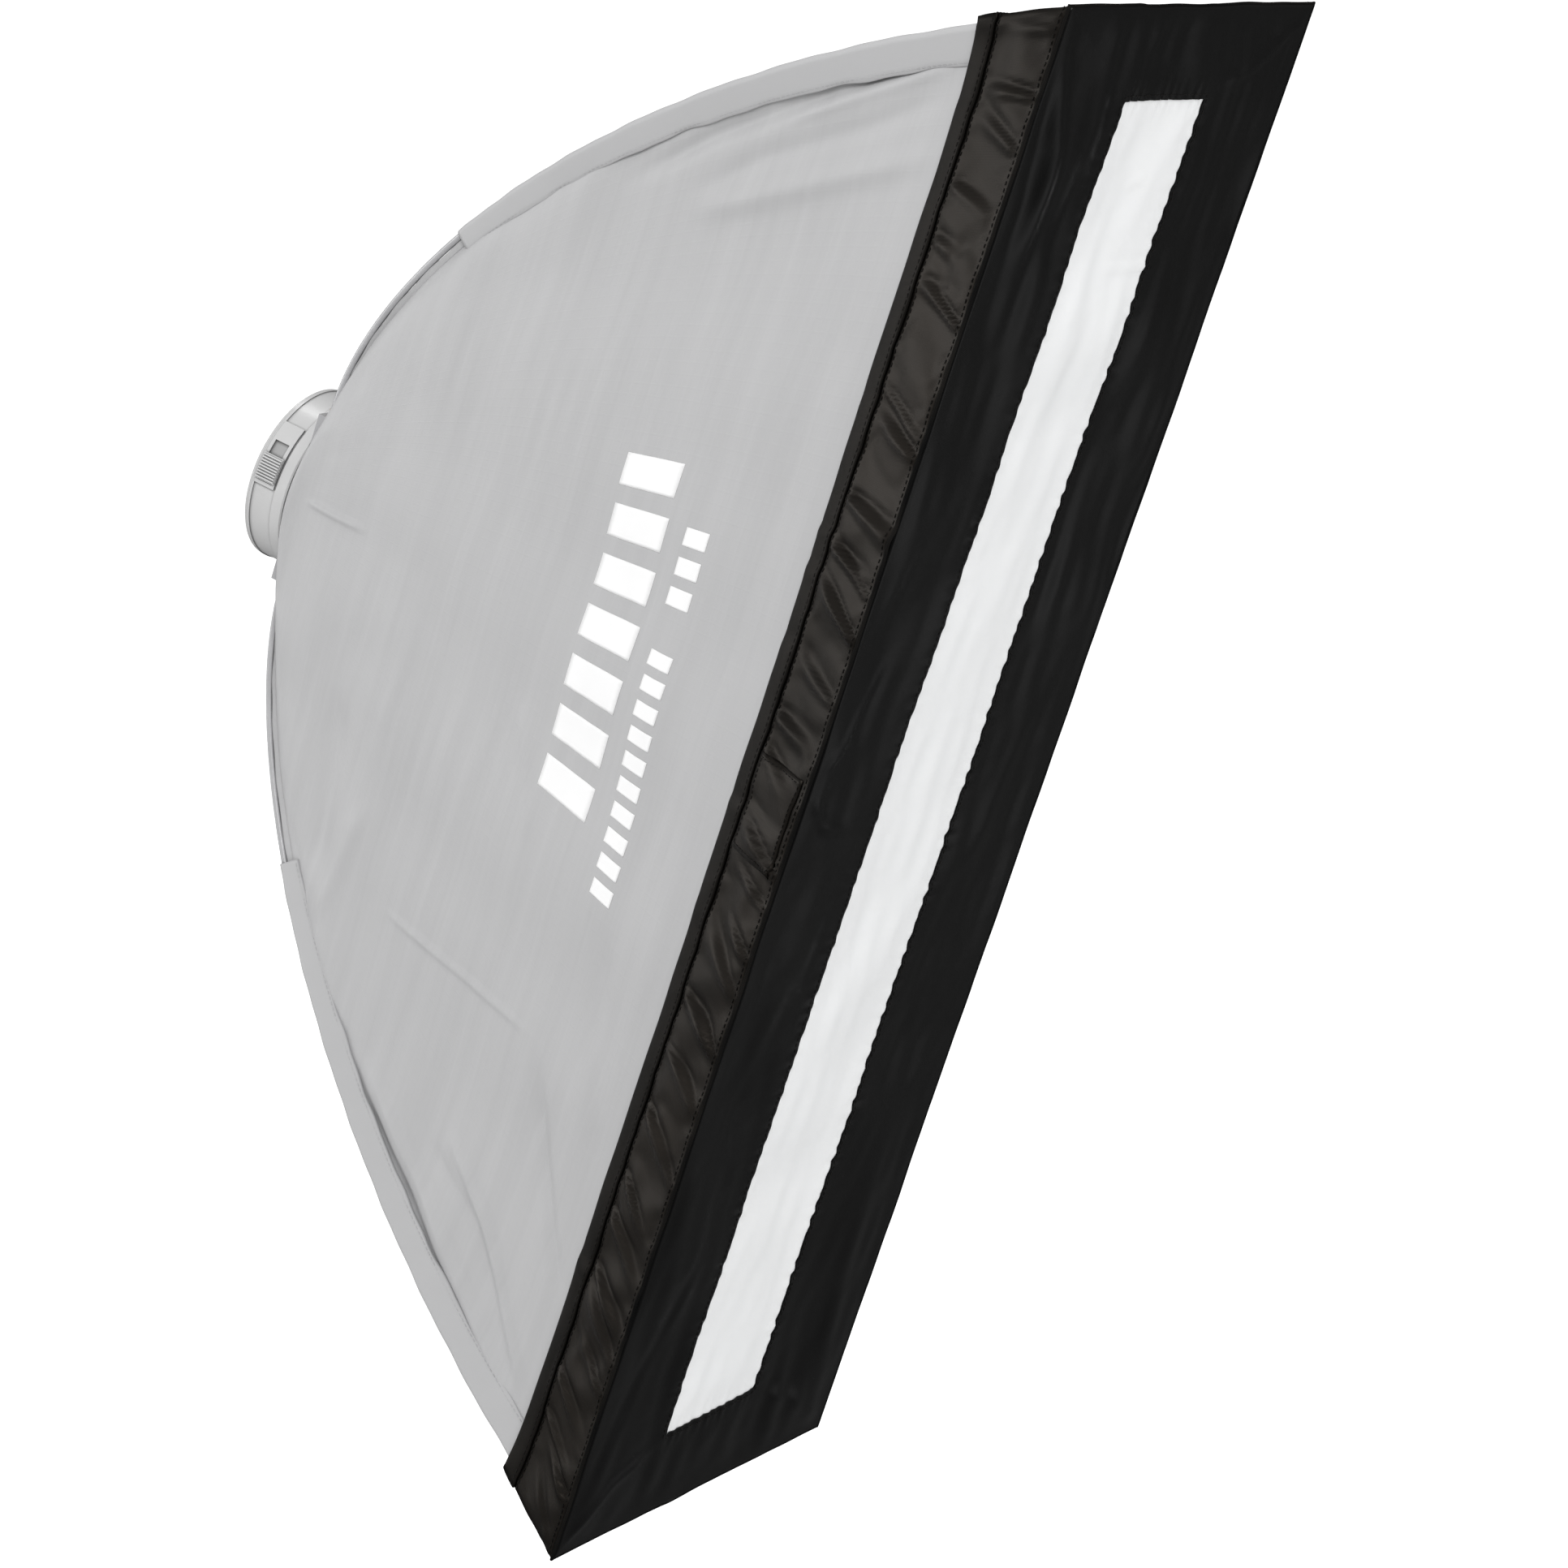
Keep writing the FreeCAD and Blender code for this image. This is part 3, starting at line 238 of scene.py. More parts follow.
def nearest_on(points, path):
    """Distance of points from a path, and how far along it their nearest places are."""
    best = np.full(points.shape[:-1], 1e9)
    along = np.zeros(points.shape[:-1])
    for start, end, begin in zip(path, path[1:], travelled(path)):
        length = np.linalg.norm(end - start)
        way = (end - start) / length
        moved = np.clip(((points - start) * way).sum(-1), 0, length)
        distance = np.linalg.norm(points - start - way * moved[..., None], axis=-1)
        closer = distance < best
        best = np.where(closer, distance, best)
        along = np.where(closer, begin + moved, along)
    return best, along


def fold(points, path, width, height):
    """Soft ridge of a width and height along a path; it fades out at both ends."""
    path = np.asarray(path, float)
    distance, along = nearest_on(points, path)
    share = along / travelled(path)[-1]
    strength = fade(share, FOLD_TAPER) * fade(1 - share, FOLD_TAPER)
    return height * strength * np.exp(-(distance / width) ** 2)


# ---------------- meshes

CORD_SIDES = 8
STITCH_PROFILE = [(-0.5, 0.1), (-0.36, 0.9), (0.36, 0.9), (0.5, 0.1)]
STITCH_SIDES = 6
STITCH_AHEAD = 0.5


def grid_faces(rows, columns, closed):
    i = np.arange(rows - 1)[:, None]
    j = np.arange(columns if closed else columns - 1)[None, :]
    k = (j + 1) % columns
    faces = np.stack([i * columns + j, (i + 1) * columns + j, (i + 1) * columns + k, i * columns + k], -1)
    return faces.reshape(-1, 4)


def tube_faces(stations, around):
    """Faces of a closed tube through rings of points, with a cap at each end."""
    faces = grid_faces(stations, around, True).tolist()
    faces.append(list(range(around)))
    faces.append(list(range(stations * around - 1, (stations - 1) * around - 1, -1)))
    return faces


def rim_loops(rows, columns, closed):
    """Point numbers along the free edges of a grid, in the turn of its faces."""
    grid = np.arange(rows * columns).reshape(rows, columns)
    if closed:
        return [grid[0], grid[-1][::-1]]
    return [np.concatenate([grid[0], grid[1:, -1], grid[-1, -2::-1], grid[-2:0:-1, 0]])]


def new_object(name, points, faces, finish, body, chart=None, lining=None, nodes=()):
    """Mesh object of a soft piece that takes the place of CAD nodes, if any are given.

    chart gives flat coordinates in mm; lining is 1 for the faces that have the second finish."""
    mesh = bpy.data.meshes.new(name)
    mesh.from_pydata((np.asarray(points) * MM).tolist(), [], [list(face) for face in faces])
    mesh.shade_smooth()
    for material in finish.split():
        mesh.materials.append(FINISH[material])
    if lining is not None:
        mesh.polygons.foreach_set("material_index", np.asarray(lining, np.int32))
    if chart is not None:
        layer = mesh.uv_layers.new(name="cloth")
        corner_vertex = np.empty(len(mesh.loops), np.int32)
        mesh.loops.foreach_get("vertex_index", corner_vertex)
        layer.data.foreach_set("uv", (chart[corner_vertex] * MM).astype(np.float32).ravel())
    mesh.update()
    item = bpy.data.objects.new(name, mesh)
    bpy.context.scene.collection.objects.link(item)
    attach(item, body)
    if nodes:
        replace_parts(item, *nodes)
    return item


def sheet(name, points, thickness, finish, body, target=INSIDE, closed=False, nodes=()):
    """Closed solid of cloth whose outer face is a grid of points; its inner face is nearer the target."""
    rows, columns = points.shape[:2]
    count = rows * columns
    normals = grid_normals(points, closed)
    sign = facing(points, normals, target)
    outer_faces = grid_faces(rows, columns, closed)
    parts = [outer_faces, outer_faces[:, ::-1] + count]
    for loop in rim_loops(rows, columns, closed):
        following = np.roll(loop, -1)
        parts.append(np.stack([loop, following, following + count, loop + count], -1))
    faces = np.concatenate(parts)
    if sign > 0:
        faces = faces[:, ::-1]
    lining = np.zeros(len(faces))
    if " " in finish:
        lining[len(outer_faces):2 * len(outer_faces)] = 1
    across = travelled(points[rows // 2])
    down = travelled(points[:, columns // 2])
    flat = np.stack(np.meshgrid(across, down), -1).reshape(-1, 2)
    inner = points + normals * sign * thickness
    both = np.concatenate([points.reshape(-1, 3), inner.reshape(-1, 3)])
    return new_object(name, both, faces, finish, body, np.concatenate([flat, flat]), lining, nodes)


def loft(name, rings, finish, body, nodes=()):
    """Closed solid through rings of points, capped at both ends."""
    rings = np.asarray(rings)
    faces = tube_faces(*rings.shape[:2])
    item = new_object(name, rings.reshape(-1, 3), faces, finish, body, nodes=nodes)
    turn_faces_out(item.data)
    return item


def turn_faces_out(mesh):
    """Reverse a closed mesh if its volume is negative."""
    volume = 0
    for face in mesh.polygons:
        place = [mesh.vertices[index].co for index in face.vertices]
        for second, third in zip(place[1:], place[2:]):
            volume += place[0].dot(second.cross(third))
    if volume < 0:
        mesh.flip_normals()


def closed_cord(name, path, radius, finish, body):
    """Round cord along a closed path."""
    tangents = closed_slope(path)
    side = np.cross(tangents[0], [0.3, 0.5, 0.8])
    sides = []
    for tangent in tangents:
        side = unit(side - tangent * side.dot(tangent))
        sides.append(side)
    sides = np.array(sides)[:, None]
    tops = np.cross(tangents[:, None], sides)
    angles = circle_angles(CORD_SIDES)
    rings = path[:, None] + radius * (np.cos(angles) * sides + np.sin(angles) * tops)
    faces = grid_faces(len(path) + 1, CORD_SIDES, True) % (len(path) * CORD_SIDES)
    item = new_object(name, rings.reshape(-1, 3), faces, finish, body)
    turn_faces_out(item.data)


def point_at(path, reached, distance):
    """Place at a distance along a path."""
    return np.array([np.interp(distance, reached, path[:, axis]) for axis in range(3)])


def stitch_rings(centre, tangent, across, normal, length, radius):
    """Rings of one thread stitch, thin at both ends."""
    angles = circle_angles(STITCH_SIDES)
    circle = (np.cos(angles) * across + np.sin(angles) * normal) * radius
    rings = [centre + tangent * share * length + circle * size for share, size in STITCH_PROFILE]
    return np.concatenate(rings)


def stitches(name, paths, finish, body, length=2.6, gap=1.2, radius=0.28):
    """Rows of thread stitches; each path is a pair of points and outward normals."""
    stitch_faces = tube_faces(len(STITCH_PROFILE), STITCH_SIDES)
    points = []
    faces = []
    for path, normals in paths:
        reached = travelled(path)
        for start in np.arange(0, reached[-1] - length, length + gap):
            middle = start + length / 2
            centre = point_at(path, reached, middle)
            ahead = point_at(path, reached, middle + STITCH_AHEAD)
            normal = unit(point_at(normals, reached, middle))
            tangent = unit(ahead - centre)
            first = len(points) * len(STITCH_PROFILE) * STITCH_SIDES
            points.append(stitch_rings(centre, tangent, np.cross(tangent, normal), normal, length, radius))
            faces += [[first + number for number in face] for face in stitch_faces]
    new_object(name, np.concatenate(points), faces, finish, body)


# ---------------- cloth simulation

SIM_SCALE = 0.01
SIM_FRAMES = 40
SIM_STEP = 7.0
CLOTH_STIFFNESS = 14.0
SIM_SETTINGS = {"quality": 6, "mass": 0.25, "air_damping": 4, "tension_stiffness": CLOTH_STIFFNESS,
                "compression_stiffness": CLOTH_STIFFNESS, "shear_stiffness": CLOTH_STIFFNESS / 2}
SHELL_BENDING = 8.0
FACE_BENDING = 6.0
SKIRT_BENDING = 1.0
SHELL_GROWTH = 0.004
FACE_GROWTH = 0.004
SKIRT_GROWTH = 0.02
SHELL_SLACK = 0.4
FACE_SLACK = 0.45
SKIRT_SLACK = 0.4


def settle(name, points, growth, pinned, seed, bending, closed=False, nudge=0.25):
    """How far cloth moves when it is cut larger than its grid by a share and held at its pinned points."""
    rows, columns = points.shape[:2]
    normals = outward_normals(points, closed=closed)
    start = points + normals * nudge * smooth_chance(seed, rows, columns, closed) * ~pinned[..., None]
    mesh = bpy.data.meshes.new(name)
    faces = grid_faces(rows, columns, closed)
    mesh.from_pydata((start.reshape(-1, 3) * SIM_SCALE).tolist(), [], faces.tolist())
    cloth = bpy.data.objects.new(name, mesh)
    scene = bpy.context.scene
    scene.collection.objects.link(cloth)
    group = cloth.vertex_groups.new(name="pins")
    group.add(np.flatnonzero(pinned.ravel()).tolist(), 1.0, "REPLACE")
    modifier = cloth.modifiers.new("cloth", "CLOTH")
    settings = modifier.settings
    settings.vertex_group_mass = "pins"
    settings.shrink_min = -growth
    for setting, value in SIM_SETTINGS.items():
        setattr(settings, setting, value)
    settings.bending_stiffness = bending
    settings.effector_weights.gravity = 0.0
    modifier.collision_settings.use_collision = False
    modifier.collision_settings.use_self_collision = False
    modifier.point_cache.frame_start = 1
    modifier.point_cache.frame_end = SIM_FRAMES
    for number in range(1, SIM_FRAMES + 1):
        scene.frame_set(number)
    evaluated = cloth.evaluated_get(bpy.context.evaluated_depsgraph_get())
    settled = np.empty(rows * columns * 3, np.float32)
    evaluated.data.vertices.foreach_get("co", settled)
    bpy.data.objects.remove(cloth)
    bpy.data.meshes.remove(mesh)
    scene.frame_set(1)
    return settled.astype(float).reshape(rows, columns, 3) / SIM_SCALE - points


def softened(values, passes, closed=False):
    """Grid values averaged with their neighbours; the border keeps its values."""
    values = values.copy()
    for _ in range(passes):
        inner = values[1:-1]
        if closed:
            near = np.roll(inner, 1, 1) + np.roll(inner, -1, 1) + values[:-2] + values[2:]
            values[1:-1] = 0.5 * inner + 0.125 * near
        else:
            near = values[:-2, 1:-1] + values[2:, 1:-1] + values[1:-1, :-2] + values[1:-1, 2:]
            values[1:-1, 1:-1] = 0.5 * values[1:-1, 1:-1] + 0.125 * near
    return values


def smooth_chance(seed, rows, columns, closed):
    """Seeded soft unevenness of a grid, about unit height."""
    chance = np.random.default_rng(seed)
    values = softened(chance.normal(0, 1, (rows, columns, 1)), 10, closed)
    return values / values.std()


def edges_pinned(rows, columns):
    pinned = np.zeros((rows, columns), bool)
    pinned[0] = pinned[-1] = True
    pinned[:, 0] = pinned[:, -1] = True
    return pinned


# ---------------- shader nodes

BAND_SCALE = 0.314159


def feed(tree, target, inputs):
    """Link or set the inputs of a node."""
    for name, value in inputs.items():
        if isinstance(value, bpy.types.NodeSocket):
            tree.links.new(value, target.inputs[name])
        else:
            target.inputs[name].default_value = value


def node(tree, kind, output, inputs, **settings):
    """One output of a new node with some inputs and settings."""
    made = tree.nodes.new("ShaderNode" + kind)
    for setting, value in settings.items():
        setattr(made, setting, value)
    feed(tree, made, inputs)
    return made.outputs[output]


def place_of(tree, kind="Object"):
    return node(tree, "TexCoord", kind, {})


def noise_of(tree, place, scale, detail=3.0):
    return node(tree, "TexNoise", "Fac", {"Scale": scale, "Detail": detail, "Vector": place})


def bands_of(tree, place, direction, period_metres):
    inputs = {"Scale": BAND_SCALE / period_metres, "Vector": place}
    return node(tree, "TexWave", "Fac", inputs, bands_direction=direction)


def colour_ramp(tree, factor, low, high, start=0.3, end=0.7):
    made = node(tree, "ValToRGB", "Color", {"Fac": factor})
    for element, position, colour in zip(made.node.color_ramp.elements, (start, end), (low, high)):
        element.position = position
        element.color = (*colour, 1)
    return made


def grey(value):
    return (value, value, value)


def maths(tree, operation, first, second):
    return node(tree, "Math", 0, {0: first, 1: second}, operation=operation)


def scaled(tree, value, factor):
    return maths(tree, "MULTIPLY", value, factor)


def added(tree, first, second):
    return maths(tree, "ADD", first, second)


def multiplied(tree, first, second):
    """Product of two colours."""
    inputs = {"Factor": 1.0, "A": first, "B": second}
    return node(tree, "Mix", "Result", inputs, data_type="RGBA", blend_type="MULTIPLY")


def woven(tree, period_metres):
    """Height of a plain weave, in the piece's flat coordinates."""
    place = place_of(tree, "UV")
    bands = [bands_of(tree, place, direction, period_metres) for direction in "XY"]
    return maths(tree, "MAXIMUM", *bands)


def painted_crease_shade(tree, reach_metres, darkest_painted_shade):
    """Painted crease shade: grey that falls to a darkest value where a surface folds in on itself, from
    ambient occlusion.
    """
    occlusion = node(tree, "AmbientOcclusion", "AO", {"Distance": reach_metres}, samples=6)
    return colour_ramp(tree, occlusion, grey(darkest_painted_shade), grey(1), 0.55, 0.97)


def streaks_of(tree, along, across):
    """Noise drawn out along one of the piece's flat coordinates."""
    inputs = {"Scale": (along, across, 1.0), "Vector": place_of(tree, "UV")}
    return noise_of(tree, node(tree, "Mapping", "Vector", inputs), 1.0, 4.0)


class Finish:
    """A material in the making."""

    def __init__(self, name, roughness, metallic=0.0, specular=0.4):
        self.material = bpy.data.materials.new(name)
        self.material.use_nodes = True
        self.tree = self.material.node_tree
        self.shader = self.tree.nodes["Principled BSDF"]
        self.place = place_of(self.tree)
        self.set({"Roughness": roughness, "Metallic": metallic, "Specular IOR Level": specular})

    def set(self, inputs):
        feed(self.tree, self.shader, inputs)

    def noise(self, scale, detail=3.0):
        return noise_of(self.tree, self.place, scale, detail)

    def mottle(self, scale, low, high, *ramp, detail=3.0):
        """Colour that wanders between two tones."""
        tone = colour_ramp(self.tree, self.noise(scale, detail), low, high, *ramp)
        self.set({"Base Color": tone})

    def darken(self, shade):
        """Multiply the colour by another one."""
        tone = self.shader.inputs["Base Color"].links[0].from_socket
        self.set({"Base Color": multiplied(self.tree, tone, shade)})

    def bump(self, height, strength, distance_metres):
        inputs = {"Strength": strength, "Distance": distance_metres, "Height": height}
        self.set({"Normal": node(self.tree, "Bump", "Normal", inputs)})


# ---------------- materials

WARM = (1.0, 0.88, 0.76)
TRACK_MIDDLE = 163.05
TRACK_HALF_ANGLE = 13.5
TRACK_DEPTH_RADIUS = 53.3


def shell_fabric(name):
    """Coated ripstop nylon with faint streaks of its weft."""
    finish = Finish(name, 0.55, specular=0.35)
    tree = finish.tree
    streaks = added(tree, scaled(tree, streaks_of(tree, 2.5, 85.0), 0.6),
                    scaled(tree, streaks_of(tree, 14.0, 420.0), 0.3))
    mixed = added(tree, scaled(tree, finish.noise(9.0), 0.35), streaks)
    tone = colour_ramp(tree, mixed, (0.452, 0.452, 0.457), (0.492, 0.492, 0.497), 0.42, 0.82)
    finish.set({"Base Color": tone})
    # painted shade: the cloth's colour is darkened in its creases
    finish.darken(painted_crease_shade(tree, 0.006, 0.8))
    threads = maths(tree, "POWER", woven(tree, 0.0055), 14.0)
    height = added(tree, scaled(tree, threads, 0.35), scaled(tree, finish.noise(1400.0, 2.0), 0.5))
    finish.bump(height, 0.35, 0.0002)
    return finish


def lining_fabric(name):
    """Silvered inside of the shell."""
    finish = Finish(name, 0.32, 0.85, 0.5)
    finish.mottle(60.0, (0.62, 0.62, 0.63), (0.8, 0.8, 0.81))
    finish.bump(finish.noise(420.0, 4.0), 0.5, 0.0004)
    return finish


def black_satin(name, low, high, roughness, weave_metres, patches, specular=0.05, tint=(1, 1, 1),
                darkest_painted_shade=0.25):
    """Tightly woven black cloth with a slightly uneven tone, and painted shade in its folds."""
    finish = Finish(name, roughness, specular=specular)
    finish.set({"Specular Tint": (*tint, 1)})
    finish.mottle(patches, low, high, 0.38, 0.66, detail=5.0)
    # painted shade: colour darkened in the folds, down to the darkest painted shade
    finish.darken(painted_crease_shade(finish.tree, 0.007, darkest_painted_shade))
    finish.bump(woven(finish.tree, weave_metres), 0.25, 0.00008)
    return finish


def white_cloth(name, colour, roughness=0.7):
    """White diffusion cloth."""
    finish = Finish(name, roughness, specular=0.3)
    finish.mottle(14.0, tuple(channel * 0.97 for channel in colour), colour)
    finish.set({"Subsurface Weight": 0.12, "Subsurface Radius": (0.004, 0.004, 0.004)})
    finish.bump(woven(finish.tree, 0.0009), 0.2, 0.00006)
    return finish


def narrow_weave(name, low, high, period_metres=0.0022):
    """Webbing or tape with coarse cross ribs."""
    finish = Finish(name, 0.85, specular=0.25)
    finish.mottle(180.0, low, high)
    ribs = bands_of(finish.tree, finish.place, "DIAGONAL", period_metres)
    finish.bump(added(finish.tree, ribs, finish.noise(1500.0, 2.0)), 0.6, 0.0004)
    return finish


def moulded_plastic(name, low, high, roughness):
    """Moulded plastic, with painted shade in its grooves."""
    finish = Finish(name, roughness, specular=0.6)
    finish.mottle(35.0, low, high)
    # painted shade: colour darkened in grooves and recesses
    finish.darken(painted_crease_shade(finish.tree, 0.002, 0.35))
    finish.set({"Coat Weight": 0.25, "Coat Roughness": 0.15})
    finish.bump(finish.noise(900.0), 0.12, 0.0001)
    return finish


def machined_metal(name, low, high):
    """Metal with faint wear that changes how it shines."""
    finish = Finish(name, 0.3, 1.0, 0.5)
    finish.mottle(160.0, low, high)
    wear = finish.noise(700.0, 5.0)
    roughened = maths(finish.tree, "MULTIPLY_ADD", wear, 0.25)
    finish.set({"Roughness": added(finish.tree, roughened, 0.12)})
    finish.bump(wear, 0.1, 0.00005)
    return finish


def soft_rubber(name):
    finish = Finish(name, 0.75, specular=0.3)
    finish.mottle(90.0, grey(0.02), grey(0.045))
    finish.bump(finish.noise(1200.0), 0.5, 0.0002)
    return finish


def track_shade_mask(tree, place):
    """1 inside the latch's track in the lock ring, where shade is painted, 0 elsewhere; place is in metres
    from the ring's centre.
    """
    split = node(tree, "SeparateXYZ", 0, {0: place}).node
    x, z = split.outputs["X"], split.outputs["Z"]
    squares = added(tree, maths(tree, "MULTIPLY", x, x), maths(tree, "MULTIPLY", z, z))
    radius = maths(tree, "SQRT", squares, 0.0)
    towards = math.radians(TRACK_MIDDLE)
    along = added(tree, scaled(tree, x, math.cos(towards)), scaled(tree, z, math.sin(towards)))
    widest = math.cos(math.radians(TRACK_HALF_ANGLE))
    in_sector = maths(tree, "GREATER_THAN", maths(tree, "DIVIDE", along, radius), widest)
    below = maths(tree, "LESS_THAN", radius, TRACK_DEPTH_RADIUS * MM)
    return maths(tree, "MULTIPLY", in_sector, below)


def lock_ring_plastic(name, low, high, roughness):
    """The ring's plastic, with painted shade in the latch's track recess."""
    finish = moulded_plastic(name, low, high, roughness)
    track_shade = track_shade_mask(finish.tree, finish.place)
    # painted shade: the track's recess is darkened to 0.7 of the plastic's tone
    finish.darken(colour_ramp(finish.tree, track_shade, grey(1), grey(0.7), 0.4, 0.6))
    return finish


RECIPES = {
    "ring_plastic": (moulded_plastic, grey(0.57), grey(0.61), 0.28),
    "lock_ring_plastic": (lock_ring_plastic, grey(0.57), grey(0.61), 0.28),
    "latch_plastic": (moulded_plastic, grey(0.6), grey(0.66), 0.35),
    "socket_plastic": (moulded_plastic, (0.4, 0.4, 0.41), (0.44, 0.44, 0.45), 0.4),
    "rod_steel": (moulded_plastic, (0.42, 0.42, 0.43), (0.48, 0.48, 0.49), 0.4),
    "jaw_alloy": (machined_metal, (0.6, 0.6, 0.61), (0.72, 0.72, 0.73)),
    "screw_steel": (machined_metal, (0.45, 0.45, 0.46), grey(0.6)),
    "ferrule_brass": (machined_metal, (0.62, 0.5, 0.3), (0.75, 0.62, 0.4)),
    "grip_rubber": (soft_rubber,),
    "panel_print": (white_cloth, grey(0.95), 0.5),
    "diffusion_fabric": (white_cloth, (0.93, 0.94, 0.945)),
    "shell_fabric": (shell_fabric,),
    "sleeve_fabric": (shell_fabric,),
    "shell_lining": (lining_fabric,),
    "webbing": (narrow_weave, (0.02, 0.02, 0.021), grey(0.05)),
    "hook_tape": (narrow_weave, grey(0.015), grey(0.04), 0.0011),
    "thread": (narrow_weave, (0.006, 0.0055, 0.005), (0.018, 0.016, 0.014), 0.0008),
    # Black cloths: the last number, where given, is the darkest painted shade in the folds.
    "mask_fabric": (black_satin, grey(0.0011), grey(0.0024), 0.3, 0.0008, 6.0, 0.28),
    "skirt_fabric": (black_satin, (0.0055, 0.005, 0.0045), (0.0125, 0.0105, 0.0088), 0.5, 0.0009, 11.0,
                     0.27, WARM, 0.1),
    "hem_fabric": (black_satin, (0.004, 0.0039, 0.0036), (0.008, 0.0072, 0.0066), 0.5, 0.0009, 30.0,
                   0.14, WARM),
    "seam_binding": (black_satin, grey(0.004), (0.01, 0.009, 0.008), 0.6, 0.0008, 25.0),
}
FINISH = {name: make(name, *values).material for name, (make, *values) in RECIPES.items()}
HARD_FINISH = {
    "bezel_screws": "screw_steel",
    "socket_screws": "screw_steel",
    "baffle_snaps": "ferrule_brass",
    "ring_body": "ring_plastic",
    "rear_bezel": "ring_plastic",
    "lock_ring": "lock_ring_plastic",
    "latch_slider": "latch_plastic",
    "clamp_jaw": "jaw_alloy",
    "jaw_pad": "grip_rubber",
    "rod_socket": "socket_plastic",
    "spring_rod": "rod_steel",
    "rod_ferrule": "ferrule_brass",
    "rod_tip": "grip_rubber",
}


def paint_hard_pieces():
    """Give every CAD node that stays in view its finish."""
    for name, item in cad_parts.items():
        for start, finish in HARD_FINISH.items():
            if name.startswith(start):
                item.data.materials.clear()
                item.data.materials.append(FINISH[finish])


# ---------------- shell panels

MIRROR = {"right": np.array([1, 1, 1]), "left": np.array([-1, 1, 1]),
          "top": np.array([1, 1, 1]), "bottom": np.array([1, 1, -1])}
PANEL_DEPTH = 400.0
LIP_DEPTH = 52.0
SEAM_CALM = (5, 22)
REAR_CALM = 25
HEM_CALM = 14
FOLD_SEAM_CALM = (3, 8)
FOLD_REAR_CALM = 12
FOLD_DEPTH = 1.6
PRINT_LIFT = 0.16
PRINT_THICKNESS = 0.12
PRINT_PATCH = 12
PRINT_LINES = [
    ((0.81, -0.205), (0.793, 0.41), 0.036, 7, 0.36),
    ((0.893, -0.285), (0.873, 0.11), 0.014, 10, 0.38),
    ((0.872, 0.165), (0.871, 0.305), 0.014, 3, 0.38),
]


class Panel:
    """Shape of a pair of panels: the curve up their middle, and their lip under the mask.

    out and wide are the numbers of the axes that the middle stands out along and the width runs along."""

    def __init__(self, middle, out, wide, squareness, length, lip):
        self.middle = np.array(middle)
        self.out, self.wide, self.squareness, self.length = out, wide, squareness, length
        self.lip_middle, self.lip_corner, self.lip_half = lip

    def points(self, share, place):
        """Outer face; share runs from ring to hem, place from one rod to the other."""
        middle = bezier(self.middle, share)
        corner = seam(REAR_SHARE + (HEM_SHARE - REAR_SHARE) * share)
        blend = np.abs(place) ** (2 + self.squareness * share)
        points = middle + (corner - middle) * blend[..., None]
        points[..., self.wide] = place * (corner[..., self.wide] - SEAM_GAP)
        return points

    def hem_row(self, place):
        return self.points(np.ones_like(place), place)

    def lip_row(self, place):
        """Front edge of the lip."""
        row = np.full((len(place), 3), LIP_Y)
        row[:, self.out] = self.lip_middle + (self.lip_corner - self.lip_middle) * np.abs(place) ** 8
        row[:, self.wide] = place * (self.lip_half - SEAM_GAP)
        return row

    def grid(self, name, spacing):
        rows, columns = int(PANEL_DEPTH / spacing), int(self.length / spacing)
        place, share = np.meshgrid(np.linspace(-1, 1, columns), np.linspace(0, 1, rows))
        return share, place, self.points(share, place) * MIRROR[name]


SIDE = Panel([[55.0, -29, 0], [54.2, -44, 0], [75.3, -183.4, 0], [121.3, HEM_Y, 0]], 0, 2, 4, 820.0,
             (147.0, 139.4, 443.0))
END = Panel([[0.0, -29, 58], [0, -30, 132], [0, -196, 311], [0, HEM_Y, 423.5]], 2, 0, 1, 250.0,
            (451.8, 443.2, 133.8))
LEFT_FOLDS = [
    ([(-127, -394, 414), (-106, -292, 343), (-96, -247, 309), (-83, -192, 257)], 5.0, -2.2),
    ([(-126, -394, 408), (-114, -334, 366), (-104, -285, 330)], 4.0, 1.4),
    ([(-124, -396, 357), (-108, -318, 309), (-92, -240, 260)], 7.0, 1.6),
    ([(-126, -394, 392), (-116, -345, 352), (-104, -285, 312), (-92, -235, 268)], 6.0, -1.3),
    ([(-56, -39, 4), (-59, -66, 5), (-63, -94, 7)], 2.2, 0.9),
    ([(-79, -180, -189), (-85, -214, -192), (-92, -249, -196), (-105, -317, -204)], 2.0, 1.0),
    ([(-65, -104, -83), (-67, -116, -140), (-68, -128, -203)], 9.0, -1.8),
    ([(-73, -149, -136), (-70, -137, -224)], 6.0, 1.2),
    ([(-84, -187, -274), (-92, -223, -300), (-106, -287, -345), (-118, -340, -383), (-127, -394, -416)],
     3.2, -1.8),
    ([(-86, -193, -268), (-94, -230, -292), (-108, -294, -337), (-119, -346, -376), (-127, -394, -412)],
     4.5, 2.0),
    ([(-99, -273, -281), (-104, -301, -299), (-110, -326, -321), (-126, -394, -399)], 3.6, 1.9),
    ([(-97, -262, -292), (-107, -313, -320), (-118, -355, -362)], 5.0, -1.2),
    ([(-105, -317, -207), (-110, -340, -252), (-122, -393, -337)], 4.0, -1.6),
    ([(-107, -328, -106), (-112, -352, -165), (-121, -392, -270)], 9.0, -1.4),
    ([(-87, -231, -29), (-91, -251, -64), (-95, -270, -110)], 5.0, 0.8),
]


